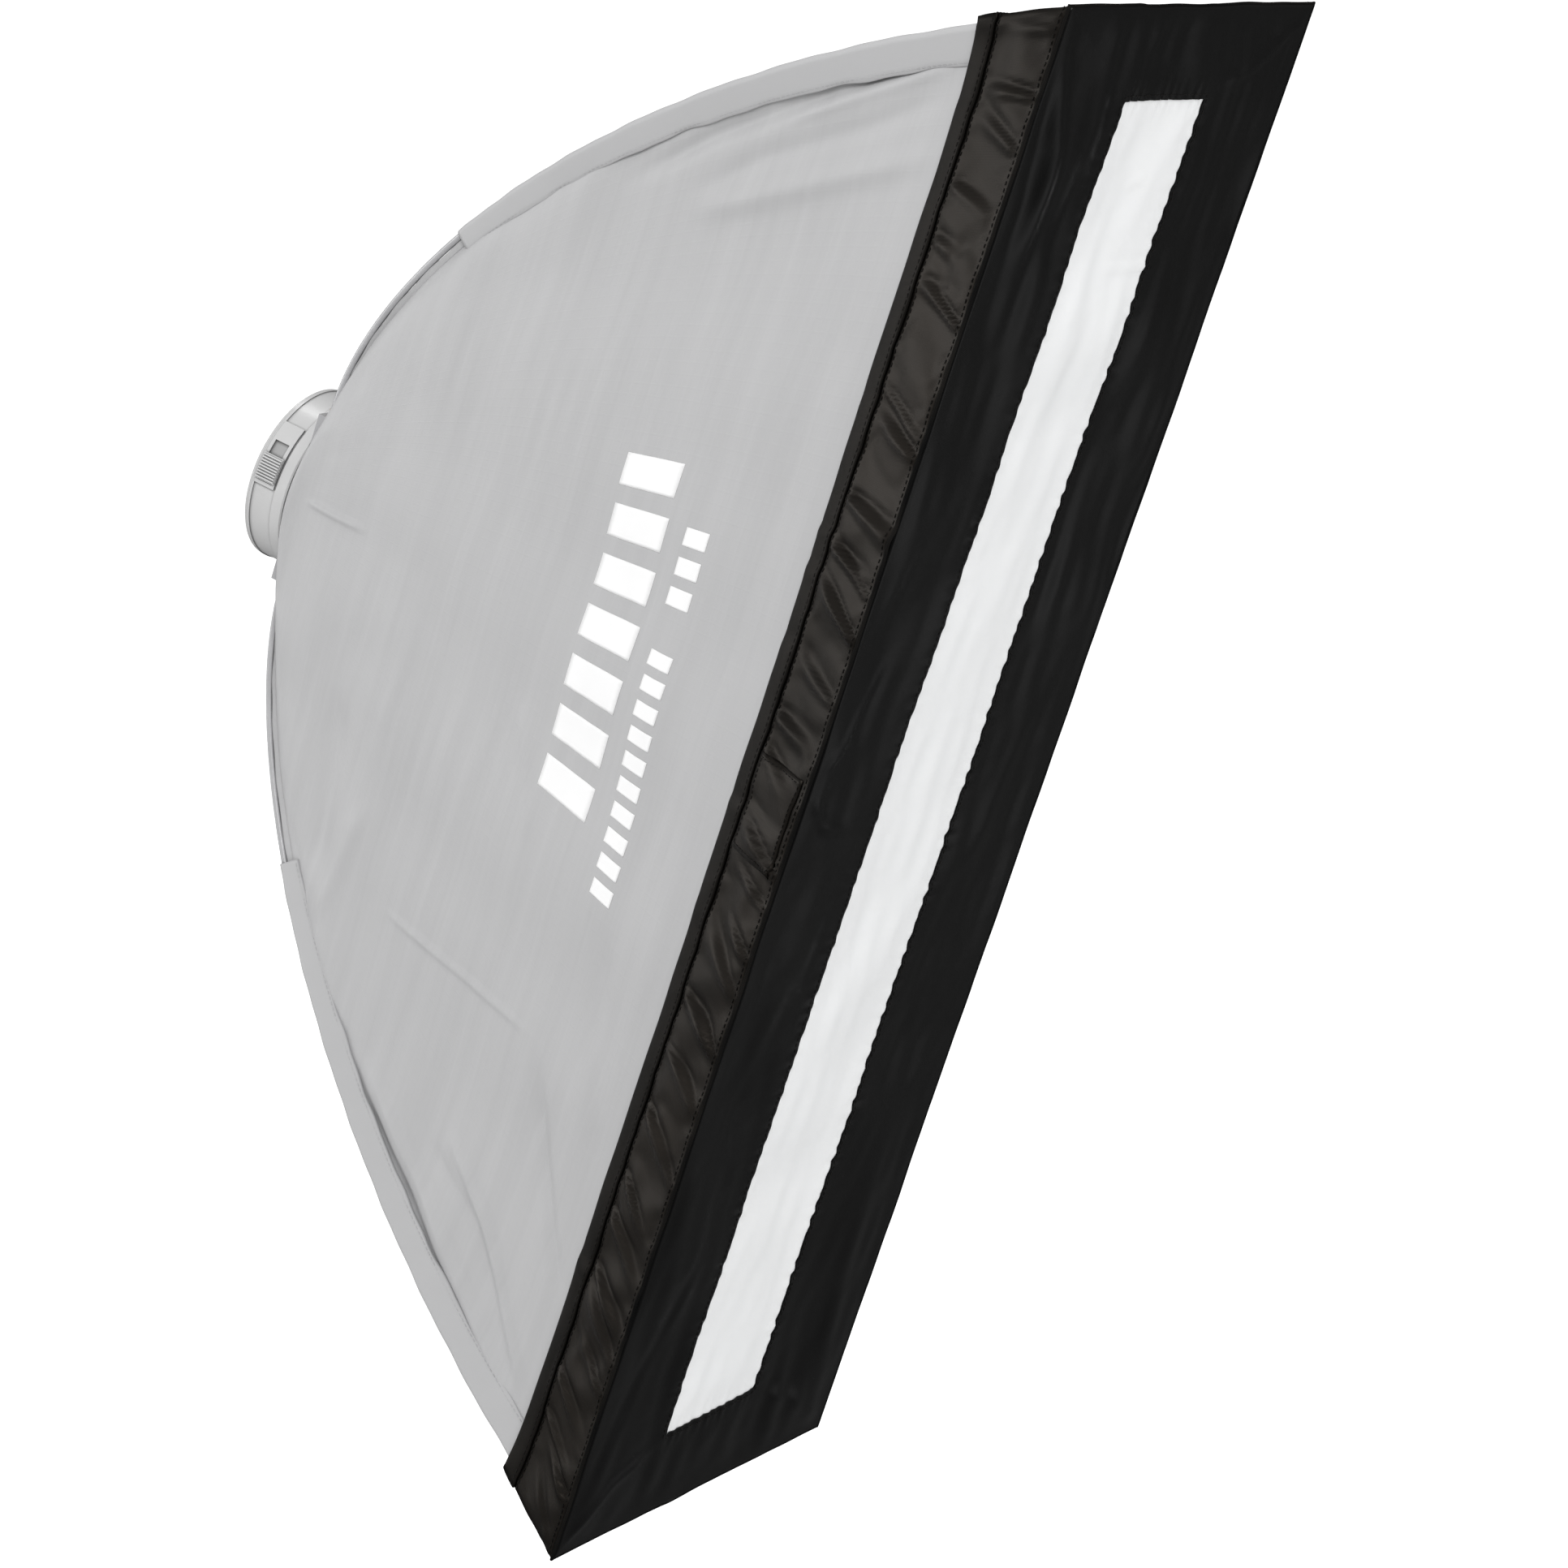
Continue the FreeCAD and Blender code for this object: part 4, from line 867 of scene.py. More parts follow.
def panel_ripples(seed, points):
    """Faint streaks across the depth, softer waves between them."""
    depth = -points[..., 1]
    height = points[..., 2] + 0.3 * points[..., 0]
    streaks = ripples(seed, depth, height, (11, 30), heading=0.0, spread=0.22)
    bands = ripples(seed + 3, depth, height, (34, 80), heading=0.05, spread=0.3)
    waves = ripples(seed + 1, depth, height, (90, 200), heading=0.2, spread=1.2)
    patches = 0.5 + 0.6 * ripples(seed + 2, depth, height, (90, 240))
    return 0.22 * streaks * np.clip(patches, 0.1, 1.4) + 0.6 * bands + 0.4 * waves


def settled_panel(name, shape, seed, rows, columns):
    """Share of the way that a panel's cloth moves when it settles between its seams."""
    coarse = shape.grid(name, SIM_STEP)[2]
    moved = settle(name, coarse, SHELL_GROWTH, edges_pinned(*coarse.shape[:2]), seed, SHELL_BENDING)
    return SHELL_SLACK * resized(softened(moved, 2), rows, columns)


def cloth_panel(name, shape, spacing, folds, seed):
    """Shell panel between two rods and its lip under the mask, settled and creased."""
    share, place, points = shape.grid(name, spacing)
    normals = outward_normals(points)
    offset = settled_panel(name, shape, seed, *share.shape)
    edge = (1 - np.abs(place)) * shape.length / 2
    rear, hem = share * PANEL_DEPTH, (1 - share) * PANEL_DEPTH
    hold = fade(edge - SEAM_CALM[0], SEAM_CALM[1]) * fade(rear, REAR_CALM) * fade(hem, HEM_CALM)
    relief = panel_ripples(seed, points) * hold
    reach = fade(edge - FOLD_SEAM_CALM[0], FOLD_SEAM_CALM[1]) * fade(rear, FOLD_REAR_CALM)
    for path, width, height in folds:
        relief = relief + fold(points, path, width, height * FOLD_DEPTH) * reach
    points = points + offset + normals * relief[..., None]
    front = shape.lip_row(place[0]) * MIRROR[name]
    steps = np.linspace(0, 1, int(LIP_DEPTH / spacing) + 1)[1:, None, None]
    return np.concatenate([points, points[-1] + (front - points[-1]) * steps])


def right_folds():
    """Other creases for the right panel: turned top to bottom and shifted."""
    turned = []
    for path, width, height in LEFT_FOLDS[::2]:
        turned.append(([(-x, y, -z * 0.96) for x, y, z in path], width * 1.2, height * 0.8))
    return turned


def make_shell():
    """Four panels; the left one carries the creases seen from the lit side."""
    panels = {
        "left": cloth_panel("left", SIDE, 2.2, LEFT_FOLDS, 11),
        "right": cloth_panel("right", SIDE, 3.0, right_folds(), 23),
        "top": cloth_panel("top", END, 3.0, [], 37),
        "bottom": cloth_panel("bottom", END, 3.0, [], 41),
    }
    make_panel_print(panels["left"])
    for name, points in panels.items():
        sheet(f"shell_cloth_{name}", points, CLOTH, "shell_fabric shell_lining", "softbox",
              nodes=[f"shell_panel_{name}"])
    return panels


def print_block(panel, shares, heights):
    """Patch of print on the cloth of a panel, between two shares of its depth and two places up its side."""
    columns = panel.shape[1]
    rows = int(np.argmin(np.abs(panel[:, columns // 2, 1] - HEM_Y))) + 1
    row, column = np.meshgrid(np.linspace(*shares, PRINT_PATCH) * (rows - 1),
                              (np.linspace(*heights, PRINT_PATCH) + 1) / 2 * (columns - 1), indexing="ij")
    return sample(panel + outward_normals(panel) * PRINT_LIFT, row, column)


def make_panel_print(panel):
    """Rows of plain blocks printed on the left panel."""
    blocks = []
    for start, end, half_width, count, gap in PRINT_LINES:
        steps = np.linspace(0, 1, count + 1)
        for first, last in zip(steps, steps[1:]):
            last = last - (last - first) * gap
            middle = start[0] + (end[0] - start[0]) * (first + last) / 2
            heights = [start[1] + (end[1] - start[1]) * share for share in (first, last)]
            patch = print_block(panel, (middle - half_width, middle + half_width), heights)
            name = f"print_{len(blocks)}"
            blocks.append(sheet(name, patch, PRINT_THICKNESS, "panel_print", "softbox"))
    join(blocks, "panel_print")


def join(items, name):
    """Join mesh objects that ride the same body into one."""
    bpy.ops.object.select_all(action="DESELECT")
    for item in items:
        item.select_set(True)
    bpy.context.view_layer.objects.active = items[0]
    bpy.ops.object.join()
    items[0].name = name
    items[0].data.name = name
    return items[0]


def make_opening_binding(panels):
    """Cord along the rear opening of the shell, around the ring."""
    rows = {name: panel[0] for name, panel in panels.items()}
    path = np.concatenate([rows["right"], rows["top"][::-1], rows["left"][::-1], rows["bottom"]])
    steps = np.linalg.norm(np.roll(path, -1, 0) - path, axis=1)
    closed_cord("shell_opening_binding", path[steps > 0.5], 1.3, "sleeve_fabric", "softbox")


# ---------------- rod sleeves and pockets

SLEEVE_MOUTH = {1: 0.365, -1: 0.39}
SLEEVE_RADIUS = 3.1
SLEEVE_ARC = (75, 285, 15)
SLEEVE_PIVOT = (0.25, 0.3)
SLEEVE_STATIONS = 170
SLEEVE_PAST_HEM = 14
STITCH_PAST_HEM = 4
SLEEVE_TAIL = [(0.3, 0.0, -1.6), (0.6, 0.0, -1.4), (1.0, -0.4, -1.7), (1.0, 0.0, -1.3),
               (1.0, 0.0, 0.25), (1.0, -0.5, 0.75), (0.75, 0.0, 1.35), (0.45, 0.0, 2.2)]
POCKET_STATIONS = [(1.0, 3.3, 3.3), (-21.8, 3.4, 3.4), (-21.8, 4.6, 4.1),
                   *((along, 5.2, 4.2) for along in np.linspace(-21, 0, 12)),
                   (1.6, 5.0, 3.8), (2.9, 4.6, 1.6), (3.3, 4.3, 0.7)]
FLANGE_THICKNESS = 1.1
FLANGE_OVERLAP = 1.5
FLANGE_EDGE = 2.1
FLANGE_WAVE = 0.25


def sleeve_width(part):
    """Width of a sleeve's tail; it widens towards the hem."""
    return 11.0 + 4.0 * part ** 3


def sleeve_ring(share, side, up, width, scale=1.0, shift=0.0):
    """Section of a flat sewn sleeve: round over the rod, with a tail that lies on the side panel."""
    rod = bezier(ROD_POLES, share)
    tangent = unit(bezier_slope(ROD_POLES, share))
    panel_share = np.clip((share - REAR_SHARE) / (HEM_SHARE - REAR_SHARE), 0, 1)
    inside = SIDE.points(np.array(panel_share), np.array(1 - width / (seam(share)[2] - SEAM_GAP)))
    along = inside - rod
    along = along - tangent * along.dot(tangent)
    reach = np.linalg.norm(along)
    along = along / reach
    outward = np.cross(tangent, along)
    if outward[0] < 0:
        outward = -outward
    angles = np.radians(np.linspace(*SLEEVE_ARC))
    outline = [(SLEEVE_RADIUS * math.cos(angle), SLEEVE_RADIUS * math.sin(angle)) for angle in angles]
    outline += [(reach * part + offset, height) for part, offset, height in SLEEVE_TAIL]
    middle = np.array([reach, 1]) * SLEEVE_PIVOT
    outline = (np.array(outline) - middle) * scale + middle
    points = rod + tangent * shift + along * outline[:, :1] + outward * outline[:, 1:]
    return points * [side, 1, up]


def make_sleeve(name, side, up, seed):
    """Fabric sleeve: hollow mouth, slightly uneven width, sewn end under the mask's hem."""
    mouth = SLEEVE_MOUTH[up]
    shares = np.linspace(mouth, share_at(HEM_Y - SLEEVE_PAST_HEM), SLEEVE_STATIONS)
    phases = np.random.default_rng(seed).uniform(0, TURN, 4)
    narrow = sleeve_width(0)
    rings = [sleeve_ring(mouth, side, up, narrow, 0.72, 7.0), sleeve_ring(mouth, side, up, narrow, 0.78)]
    for part, share in zip(np.linspace(0, 1, len(shares)), shares):
        width = sleeve_width(part)
        width += 0.35 * math.sin(part * 31 + phases[0]) + 0.25 * math.sin(part * 73 + phases[1])
        puff = 1 + 0.03 * math.sin(part * 47 + phases[2]) + 0.02 * math.sin(part * 97 + phases[3])
        rings.append(sleeve_ring(share, side, up, width, puff))
    loft(f"sleeve_{name}", rings, "sleeve_fabric", "softbox", [f"rod_sleeve_{name}"])


def make_sleeve_stitches():
    """Seam that holds each sleeve's tail to its side panel."""
    paths = []
    for side, up in CORNERS.values():
        shares = np.linspace(SLEEVE_MOUTH[up] + 0.004, share_at(HEM_Y - STITCH_PAST_HEM), 140)
        parts = np.linspace(0, 1, len(shares))
        rings = [sleeve_ring(share, side, up, sleeve_width(part)) for part, share in zip(parts, shares)]
        rings = np.array(rings)
        line = rings[:, -3] * 0.6 + rings[:, -2] * 0.4
        paths.append((line, unit(rings[:, -4] - rings[:, -6])))
    stitches("sleeve_stitches", paths, "sleeve_fabric", "softbox", 2.4, 1.0, 0.2)


def make_corner_pocket(name, side, up):
    """Flattened webbing pocket that takes the end of a rod."""
    tip = bezier(ROD_POLES, 1.0)
    ahead = unit(bezier_slope(ROD_POLES, 1.0))
    flat = unit(np.cross(ahead, [0.6, 0.0, 0.8]))
    across = np.cross(ahead, flat)
    angles = circle_angles(20)
    rings = []
    for along, half_width, half_depth in POCKET_STATIONS:
        ring = tip + ahead * along + half_width * np.cos(angles) * across + half_depth * np.sin(angles) * flat
        rings.append(ring * [side, 1, up])
    loft(f"pocket_{name}", rings, "webbing", "softbox", [f"corner_pocket_{name}"])


def make_seam_flange(name, side, up):
    """Doubled cloth beside the bare part of a rod, from the panels' seam to the rod."""
    shares = np.linspace(REAR_SHARE + 0.03, SLEEVE_MOUTH[up] + 0.02, 110)
    rod = bezier(ROD_POLES, shares)
    outward = unit(rod - seam(shares))
    inner = seam(shares) - outward * FLANGE_OVERLAP
    edge = rod - outward * FLANGE_EDGE + outward * FLANGE_WAVE * np.sin(shares * 90)[:, None]
    steps = np.linspace(0, 1, 6)[None, :, None]
    grid = (inner[:, None] + (edge - inner)[:, None] * steps) * [side, 1, up]
    target = INSIDE + [side * 200.0, 0.0, 0.0]
    sheet(f"seam_flange_{name}", grid, FLANGE_THICKNESS, "sleeve_fabric", "softbox", target)


def make_sleeves():
    for seed, (name, (side, up)) in enumerate(CORNERS.items()):
        make_sleeve(name, side, up, 60 + seed)
        make_corner_pocket(name, side, up)
        make_seam_flange(name, side, up)
    make_sleeve_stitches()


# ---------------- mask outline

LONG_COUNT = 420
SHORT_COUNT = 140
SKIRT_WAIST = 124.5
SKIRT_REAR = (134.9, 430.8)


def skirt_rows():
    """Rear and front edge of the skirt: left side up, top, right side down, bottom."""
    up = np.linspace(-1, 1, LONG_COUNT, endpoint=False)
    across = np.linspace(-1, 1, SHORT_COUNT, endpoint=False)
    bow = 0.65 * np.abs(up) ** 24 + 0.35 * np.abs(up) ** 6
    x = SKIRT_WAIST + (SKIRT_REAR[0] - SKIRT_WAIST) * bow
    z = SKIRT_REAR[1] - 2 * (1 - np.abs(across) ** 6)
    rear = np.concatenate([places(-x, HEM_Y, up * SKIRT_REAR[1]), places(across * SKIRT_REAR[0], HEM_Y, z)])
    front = np.concatenate([places(-HALF_WIDTH, SEAM_Y, up * HALF_HEIGHT),
                            places(across * HALF_WIDTH, SEAM_Y, HALF_HEIGHT)])
    return [np.concatenate([edge, edge * [-1, 1, -1]]) for edge in (rear, front)]


def sway(seed, count, height):
    """Slow closed unevenness along the outline."""
    turn = np.arange(count) / count * TURN
    chance = np.random.default_rng(seed)
    total = np.zeros(count)
    for waves in (9, 14, 23, 37, 52):
        total += np.sin(turn * waves + chance.uniform(0, TURN)) / math.sqrt(waves)
    return total * height


def corner_distance(front):
    return np.hypot(HALF_WIDTH - np.abs(front[:, 0]), HALF_HEIGHT - np.abs(front[:, 2]))


def outline_edge():
    """Front seam of the mask, with its unevenness, and the matching rear edge."""
    rear, front = skirt_rows()
    count = len(front)
    calm = fade(corner_distance(front), 60)
    on_long_side = np.abs(np.abs(front[:, :1]) - HALF_WIDTH) < 0.01
    push = np.where(on_long_side, np.sign(front[:, :1]) * [1.0, 0, 0], np.sign(front[:, 2:]) * [0, 0, 1.0])
    front = front + push * (sway(5, count, 0.9) * calm - 0.5)[:, None]
    rear = rear + push * (sway(6, count, 0.6) * calm)[:, None]
    rear[:, 1] += sway(7, count, 0.5)
    return rear, front


REAR_EDGE, FRONT_EDGE = outline_edge()


# ---------------- skirt

SKIRT_ROWS = 28
SKIRT_SIM_ROWS = 13
SKIRT_SINK = 0.7
SKIRT_FULLNESS = 1.3
SHORT_SIDE_CALM = 0.45
HEM_WIDTH = 12.0
HEM_ROWS = HEM_WIDTH / (HEM_Y - SEAM_Y) * (SKIRT_ROWS - 1)
HEM_THICKNESS = 1.1
HEM_LIFT = 1.15
HEM_BULGE = 0.45
HEM_STITCH_LIFT = 1.55
STITCH_LIFT = 0.25
STITCH_ROWS = (HEM_ROWS - 1.1, HEM_ROWS + 0.7, SKIRT_ROWS - 2.6)
FOLD_SLANT = 26
TAG_THICKNESS = 0.5
TAG_LIFT = 0.55
TAG_MARGINS = (-4, 6)
TAG_SPAN = (0.24, 0.9)


def skirt_grid(rows, columns):
    """Ruled band between the two edges; row 0 is the hem."""
    pick = np.arange(columns) * len(REAR_EDGE) / columns
    edges = np.stack([REAR_EDGE, FRONT_EDGE])
    rear, front = (sample(edges, np.full(columns, row), pick, True) for row in (0.0, 1.0))
    return rear + (front - rear) * np.linspace(0, 1, rows)[:, None, None]


def skirt_folds(share, around, length):
    """Slanting folds that start at the hem's seam or at the front seam and die out across the skirt."""
    chance = np.random.default_rng(84)
    total = np.zeros(share.shape)
    place = 0.0
    while place < length:
        from_hem = chance.random() < 0.6
        slant = -chance.uniform(8, 28)
        width = chance.uniform(2.6, 5.0)
        height = chance.uniform(1.2, 3.2)
        reach = chance.uniform(0.75, 1.25)
        along = share if from_hem else 1 - share
        gap = around - place - (slant if from_hem else -slant) * along
        gap = gap - length * np.round(gap / length)
        spread = width * (0.6 + 0.8 * along)
        strength = fade(along - 0.01, 0.16) * fade(reach - along, 0.6)
        ridge = np.exp(-(gap / spread) ** 2) - 0.75 * np.exp(-((gap - spread * 1.5) / (spread * 0.8)) ** 2)
        total = total + height * strength * ridge
        place += chance.uniform(13, 38)
    return total


def skirt_relief(share, around, length):
    """Height of the skirt's folds and soft waves, between the stiff hem and the front seam."""
    hem = HEM_ROWS / (SKIRT_ROWS - 1)
    free = np.clip((share - hem) / (1 - hem), 0, 1)
    slanted = around + share * FOLD_SLANT
    waves = ripples(81, slanted, share * 30, (50, 130), heading=0.0, spread=0.5, waves=14)
    small = ripples(82, slanted, share * 50, (10, 24), heading=0.0, spread=1.2, waves=18)
    shape = np.sin(free * math.pi) ** 0.6
    return skirt_folds(free, around, length) + (0.5 * waves + 0.1 * small) * shape


def moved_skirt(columns):
    """How far the skirt moves when it settles: its cut is longer than the edges that hold it."""
    coarse = skirt_grid(SKIRT_SIM_ROWS, columns // 2)
    pinned = np.zeros(coarse.shape[:2], bool)
    pinned[:3] = pinned[-1] = True
    moved = settle("skirt", coarse, SKIRT_GROWTH, pinned, 9, SKIRT_BENDING, True, 0.6)
    return SKIRT_SLACK * resized(moved, SKIRT_ROWS, columns, True)


def settled_skirt():
    """Outer face of the skirt, settled and folded."""
    columns = 2 * (LONG_COUNT + SHORT_COUNT)
    points = skirt_grid(SKIRT_ROWS, columns)
    normals = outward_normals(points, closed=True)
    reached = travelled(np.concatenate([FRONT_EDGE, FRONT_EDGE[:1]]))
    around, share = np.meshgrid(reached[:-1], np.linspace(0, 1, SKIRT_ROWS))
    relief = skirt_relief(share, around, float(reached[-1]))
    relief = relief * (0.25 + 0.75 * fade(corner_distance(FRONT_EDGE) - 4, 22))
    relief = relief + (moved_skirt(columns) * normals).sum(-1)
    relief = relief + SKIRT_FULLNESS * np.sin(share * math.pi) ** 0.7
    relief = relief * np.where(np.abs(FRONT_EDGE[:, 2]) > HALF_HEIGHT - 3, SHORT_SIDE_CALM, 1.0)
    return points + normals * held_out(relief)[..., None]


def held_out(relief):
    """Height of the skirt's cloth, kept from sinking into the lip of the shell under it."""
    return np.where(relief < 0, -SKIRT_SINK * np.tanh(-relief / SKIRT_SINK), relief)


def surface_strip(grid, first_row, last_row, rows, offset, columns=None):
    """Part of a closed cloth grid, lifted off its outer face."""
    if columns is None:
        columns = np.arange(grid.shape[1], dtype=float)
    row, column = np.meshgrid(np.linspace(first_row, last_row, rows), columns, indexing="ij")
    return sample(grid + outward_normals(grid, closed=True) * offset, row, column, True)


def skirt_stitch_path(grid, row):
    lift = HEM_STITCH_LIFT if row < HEM_ROWS else STITCH_LIFT
    line = surface_strip(grid, row, row, 1, lift)[0]
    normals = outward_normals(surface_strip(grid, row - 0.5, row + 0.5, 3, 0.3), closed=True)[1]
    return [np.concatenate([values, values[:1]]) for values in (line, normals)]


def make_skirt():
    grid = settled_skirt()
    sheet("mask_skirt_cloth", grid, CLOTH, "skirt_fabric", "mask", closed=True,
          nodes=["mask_skirt"])
    hem = surface_strip(grid, -0.3, HEM_ROWS, 13, HEM_LIFT)
    bulge = np.sin(np.linspace(0, 1, 13) * math.pi)[:, None, None] ** 0.5
    hem = hem + outward_normals(hem, closed=True) * bulge * HEM_BULGE
    sheet("mask_hem", hem, HEM_THICKNESS, "hem_fabric", "mask", closed=True)
    paths = [skirt_stitch_path(grid, row) for row in STITCH_ROWS]
    stitches("mask_hem_stitches", paths, "thread", "mask")
    seam_line = surface_strip(grid, SKIRT_ROWS - 1, SKIRT_ROWS - 1, 1, 0.2)[0]
    closed_cord("mask_seam_binding", seam_line, 1.0, "seam_binding", "mask")
    return grid


def make_tag(grid):
    """Blank fabric tag, sewn on around its edge."""
    low, high = box_mm("mask_tag")
    heights = REAR_EDGE[:LONG_COUNT, 2]
    ends = np.array([low[2], high[2]]) + TAG_MARGINS
    first, last = np.interp(ends, heights, np.arange(LONG_COUNT))
    top, bottom = (share * (SKIRT_ROWS - 1) for share in TAG_SPAN)
    patch = surface_strip(grid, top, bottom, 16, TAG_LIFT, np.linspace(first, last, 20))
    sheet("mask_tag_patch", patch, TAG_THICKNESS, "skirt_fabric", "mask", nodes=["mask_tag"])
    lanes = surface_strip(grid, top + 1, bottom - 1, 16, 0.85, np.linspace(first + 1.2, last - 1.2, 20))
    normals = outward_normals(lanes)
    edges = [(0,), (-1,), (slice(None), 0), (slice(None), -1)]
    loop = [(lanes[edge], normals[edge]) for edge in edges]
    stitches("mask_tag_stitches", loop, "thread", "mask", 2.2, 1.0, 0.26)


# ---------------- mask face and its window

FACE_STEP = 6.0
STRIP_THICKNESS = 0.6
STRIP_GRID = (270, 42)
WINDOW_STITCH_GAP = 3.0
WINDOW_OVERLAP = 6.0
FACE_ROWS = 40
FACE_EDGE_CALM = 18
WINDOW_CALM = 26
STRIP_CALM = 14
FACE_WAVES = [(51, 0.8, (70, 190), {}), (53, 0.5, (22, 60), {"heading": 0.0, "spread": 0.6})]
FACE_GRAIN = 0.06
PUCKER_WAVES = [(9.5, 1.0), (13.0, 0.8), (7.7, 0.5), (24.0, 0.5)]
PUCKER_HEIGHT = 0.4
PUCKER_SWAY = 0.42
PUCKER_SHIFT = 5.0
PUCKER_REACH = (5.0, 8.0)
WINDOW_CORNERS = np.array([[-51.0, 404.0], [47.0, 403.5], [39.0, -399.0], [-61.0, -402.0]])
FACE_FOLDS = [
    ([(-8.4, 352.9), (10.0, 360.5)], 1.6, 0.8),
    ([(-11.6, 305.8), (50.5, 306.2), (70, 304)], 1.8, 0.7),
    ([(-150, 452), (-118, 380), (-104, 300)], 7.0, 1.6),
    ([(-150, 440), (-130, 350), (-128, 250)], 9.0, -1.4),
    ([(150, 452), (96, 420), (52, 410)], 5.0, 1.3),
    ([(-150, -452), (-110, -420), (-66, -408)], 5.0, 1.4),
    ([(-150, -440), (-112, -330), (-90, -250)], 7.0, -1.2),
    ([(150, -452), (90, -420), (44, -404)], 6.0, 1.2),
    ([(-150, 20), (-122, -6), (-90, -14)], 3.0, 1.1),
    ([(-150, 24), (-128, 44), (-104, 92)], 4.0, 1.1),
]


def edge_distance(x, z):
    return np.minimum(HALF_WIDTH - np.abs(x), HALF_HEIGHT - np.abs(z))


def settled_face():
    """Displacement of the whole face sheet after cloth simulation, on a coarse grid."""
    columns = int(2 * HALF_WIDTH / FACE_STEP) + 1
    rows = int(2 * HALF_HEIGHT / FACE_STEP) + 1
    x, z = np.meshgrid(np.linspace(-HALF_WIDTH, HALF_WIDTH, columns),
                       np.linspace(-HALF_HEIGHT, HALF_HEIGHT, rows))
    moved = settle("face", places(x, FACE_Y, z), FACE_GROWTH, edges_pinned(rows, columns), 3, FACE_BENDING)
    return FACE_SLACK * softened(-moved[..., 1:2], 2) * fade(edge_distance(x, z), 12)[..., None]


FACE_CHANGE = settled_face()


def window_distance(flat):
    """Distance from the window's outline (negative inside) and the position along it."""
    path = np.concatenate([WINDOW_CORNERS, WINDOW_CORNERS[:1]])
    distance, along = nearest_on(flat, path)
    inside = np.ones(flat.shape[:-1], bool)
    for start, way in zip(path, np.diff(path, axis=0)):
        inside &= (flat[..., 0] - start[0]) * way[1] - (flat[..., 1] - start[1]) * way[0] < 0
    return np.where(inside, -distance, distance), along


def pucker_wave(along):
    """Uneven short wave along the sewn edge of the window."""
    chance = np.random.default_rng(17)
    total = 0
    for length, weight in PUCKER_WAVES:
        total = total + weight * np.sin(TURN * along / length + chance.uniform(0, 6.28))
    return total / 1.7


def face_height(flat):
    """How far the face sheet stands out, at places in its plane; it is calmest inside the window."""
    x, z = flat[..., 0], flat[..., 1]
    rows, columns = FACE_CHANGE.shape[:2]
    column = (x + HALF_WIDTH) / (2 * HALF_WIDTH) * (columns - 1)
    row = (z + HALF_HEIGHT) / (2 * HALF_HEIGHT) * (rows - 1)
    distance, along = window_distance(flat)
    held = fade(edge_distance(x, z), FACE_EDGE_CALM)
    free = (0.3 + 0.7 * fade(np.abs(distance), WINDOW_CALM)) * (1 - 0.5 * fade(-distance, STRIP_CALM))
    total = free * sample(FACE_CHANGE, row, column)[..., 0]
    for seed, height, wavelengths, course in FACE_WAVES:
        total = total + height * held * free * ripples(seed, x, z, wavelengths, **course)
    total = total + FACE_GRAIN * held * ripples(52, x, z, (16, 40))
    reach = np.where(distance < 0, *PUCKER_REACH)
    total = total + PUCKER_HEIGHT * pucker_wave(along) * np.exp(-(distance / reach) ** 2)
    for path, width, height in FACE_FOLDS:
        total = total + fold(flat, path, width, height) * held
    return total


def window_loop():
    """Sewn outline of the window, matched side by side to the mask's outer edge."""
    corners = np.roll(WINDOW_CORNERS, 1, axis=0)
    sides = []
    for start, end, count in zip(corners, np.roll(corners, -1, 0), (LONG_COUNT, SHORT_COUNT) * 2):
        sides.append(start + (end - start) * np.linspace(0, 1, count, endpoint=False)[:, None])
    loop = np.concatenate(sides)
    way = closed_slope(loop)
    across = np.stack([way[:, 1], -way[:, 0]], -1)
    along = window_distance(loop)[1]
    corner_gap = np.min([np.linalg.norm(loop - corner, axis=1) for corner in corners], axis=0)
    straight = np.where(np.abs(way[:, 0]) > 0.7, 0.3, 1.0)
    wave = PUCKER_SWAY * straight * pucker_wave(along + PUCKER_SHIFT) * fade(corner_gap, 12)
    return loop + across * wave[:, None]


def face_points(flat):
    return places(flat[..., 0], FACE_Y - face_height(flat), flat[..., 1])


def make_face():
    """Black face around the window; its rows are closer together near the window."""
    inner = window_loop()
    outer = FRONT_EDGE[:, [0, 2]]
    steps = np.linspace(0, 1, FACE_ROWS)
    steps = (0.35 * steps + 0.65 * steps ** 1.8)[:, None, None]
    points = face_points(inner + (outer - inner) * steps)
    points[-1, :, 1] = FACE_Y
    sheet("mask_face_cloth", points, CLOTH, "mask_fabric", "mask", BEHIND, True,
          ["mask_front"])
    outward = -closed_slope(inner)[:, ::-1] * [1, -1]
    line = face_points(inner + outward * WINDOW_STITCH_GAP)
    line[:, 1] -= 0.15
    ahead = np.zeros_like(line) + [0, -1, 0]
    stitches("mask_window_stitches", [(line, ahead)], "thread", "mask", 2.2, 1.2, 0.24)


def make_strip():
    """White strip sewn behind the window."""
    middle = WINDOW_CORNERS.mean(axis=0)
    grown = WINDOW_CORNERS + np.sign(WINDOW_CORNERS - middle) * WINDOW_OVERLAP
    top_left, top_right, low_right, low_left = grown
    place = np.linspace(0, 1, STRIP_GRID[0])[:, None, None]
    share = np.linspace(0, 1, STRIP_GRID[1])[None, :, None]
    left = low_left + (top_left - low_left) * place
    right = low_right + (top_right - low_right) * place
    strip = face_points(left + (right - left) * share)
    strip[..., 1] += CLOTH
    sheet("mask_strip_cloth", strip, STRIP_THICKNESS, "diffusion_fabric", "mask", BEHIND,
          nodes=["mask_window_strip"])


# ---------------- inside of the box

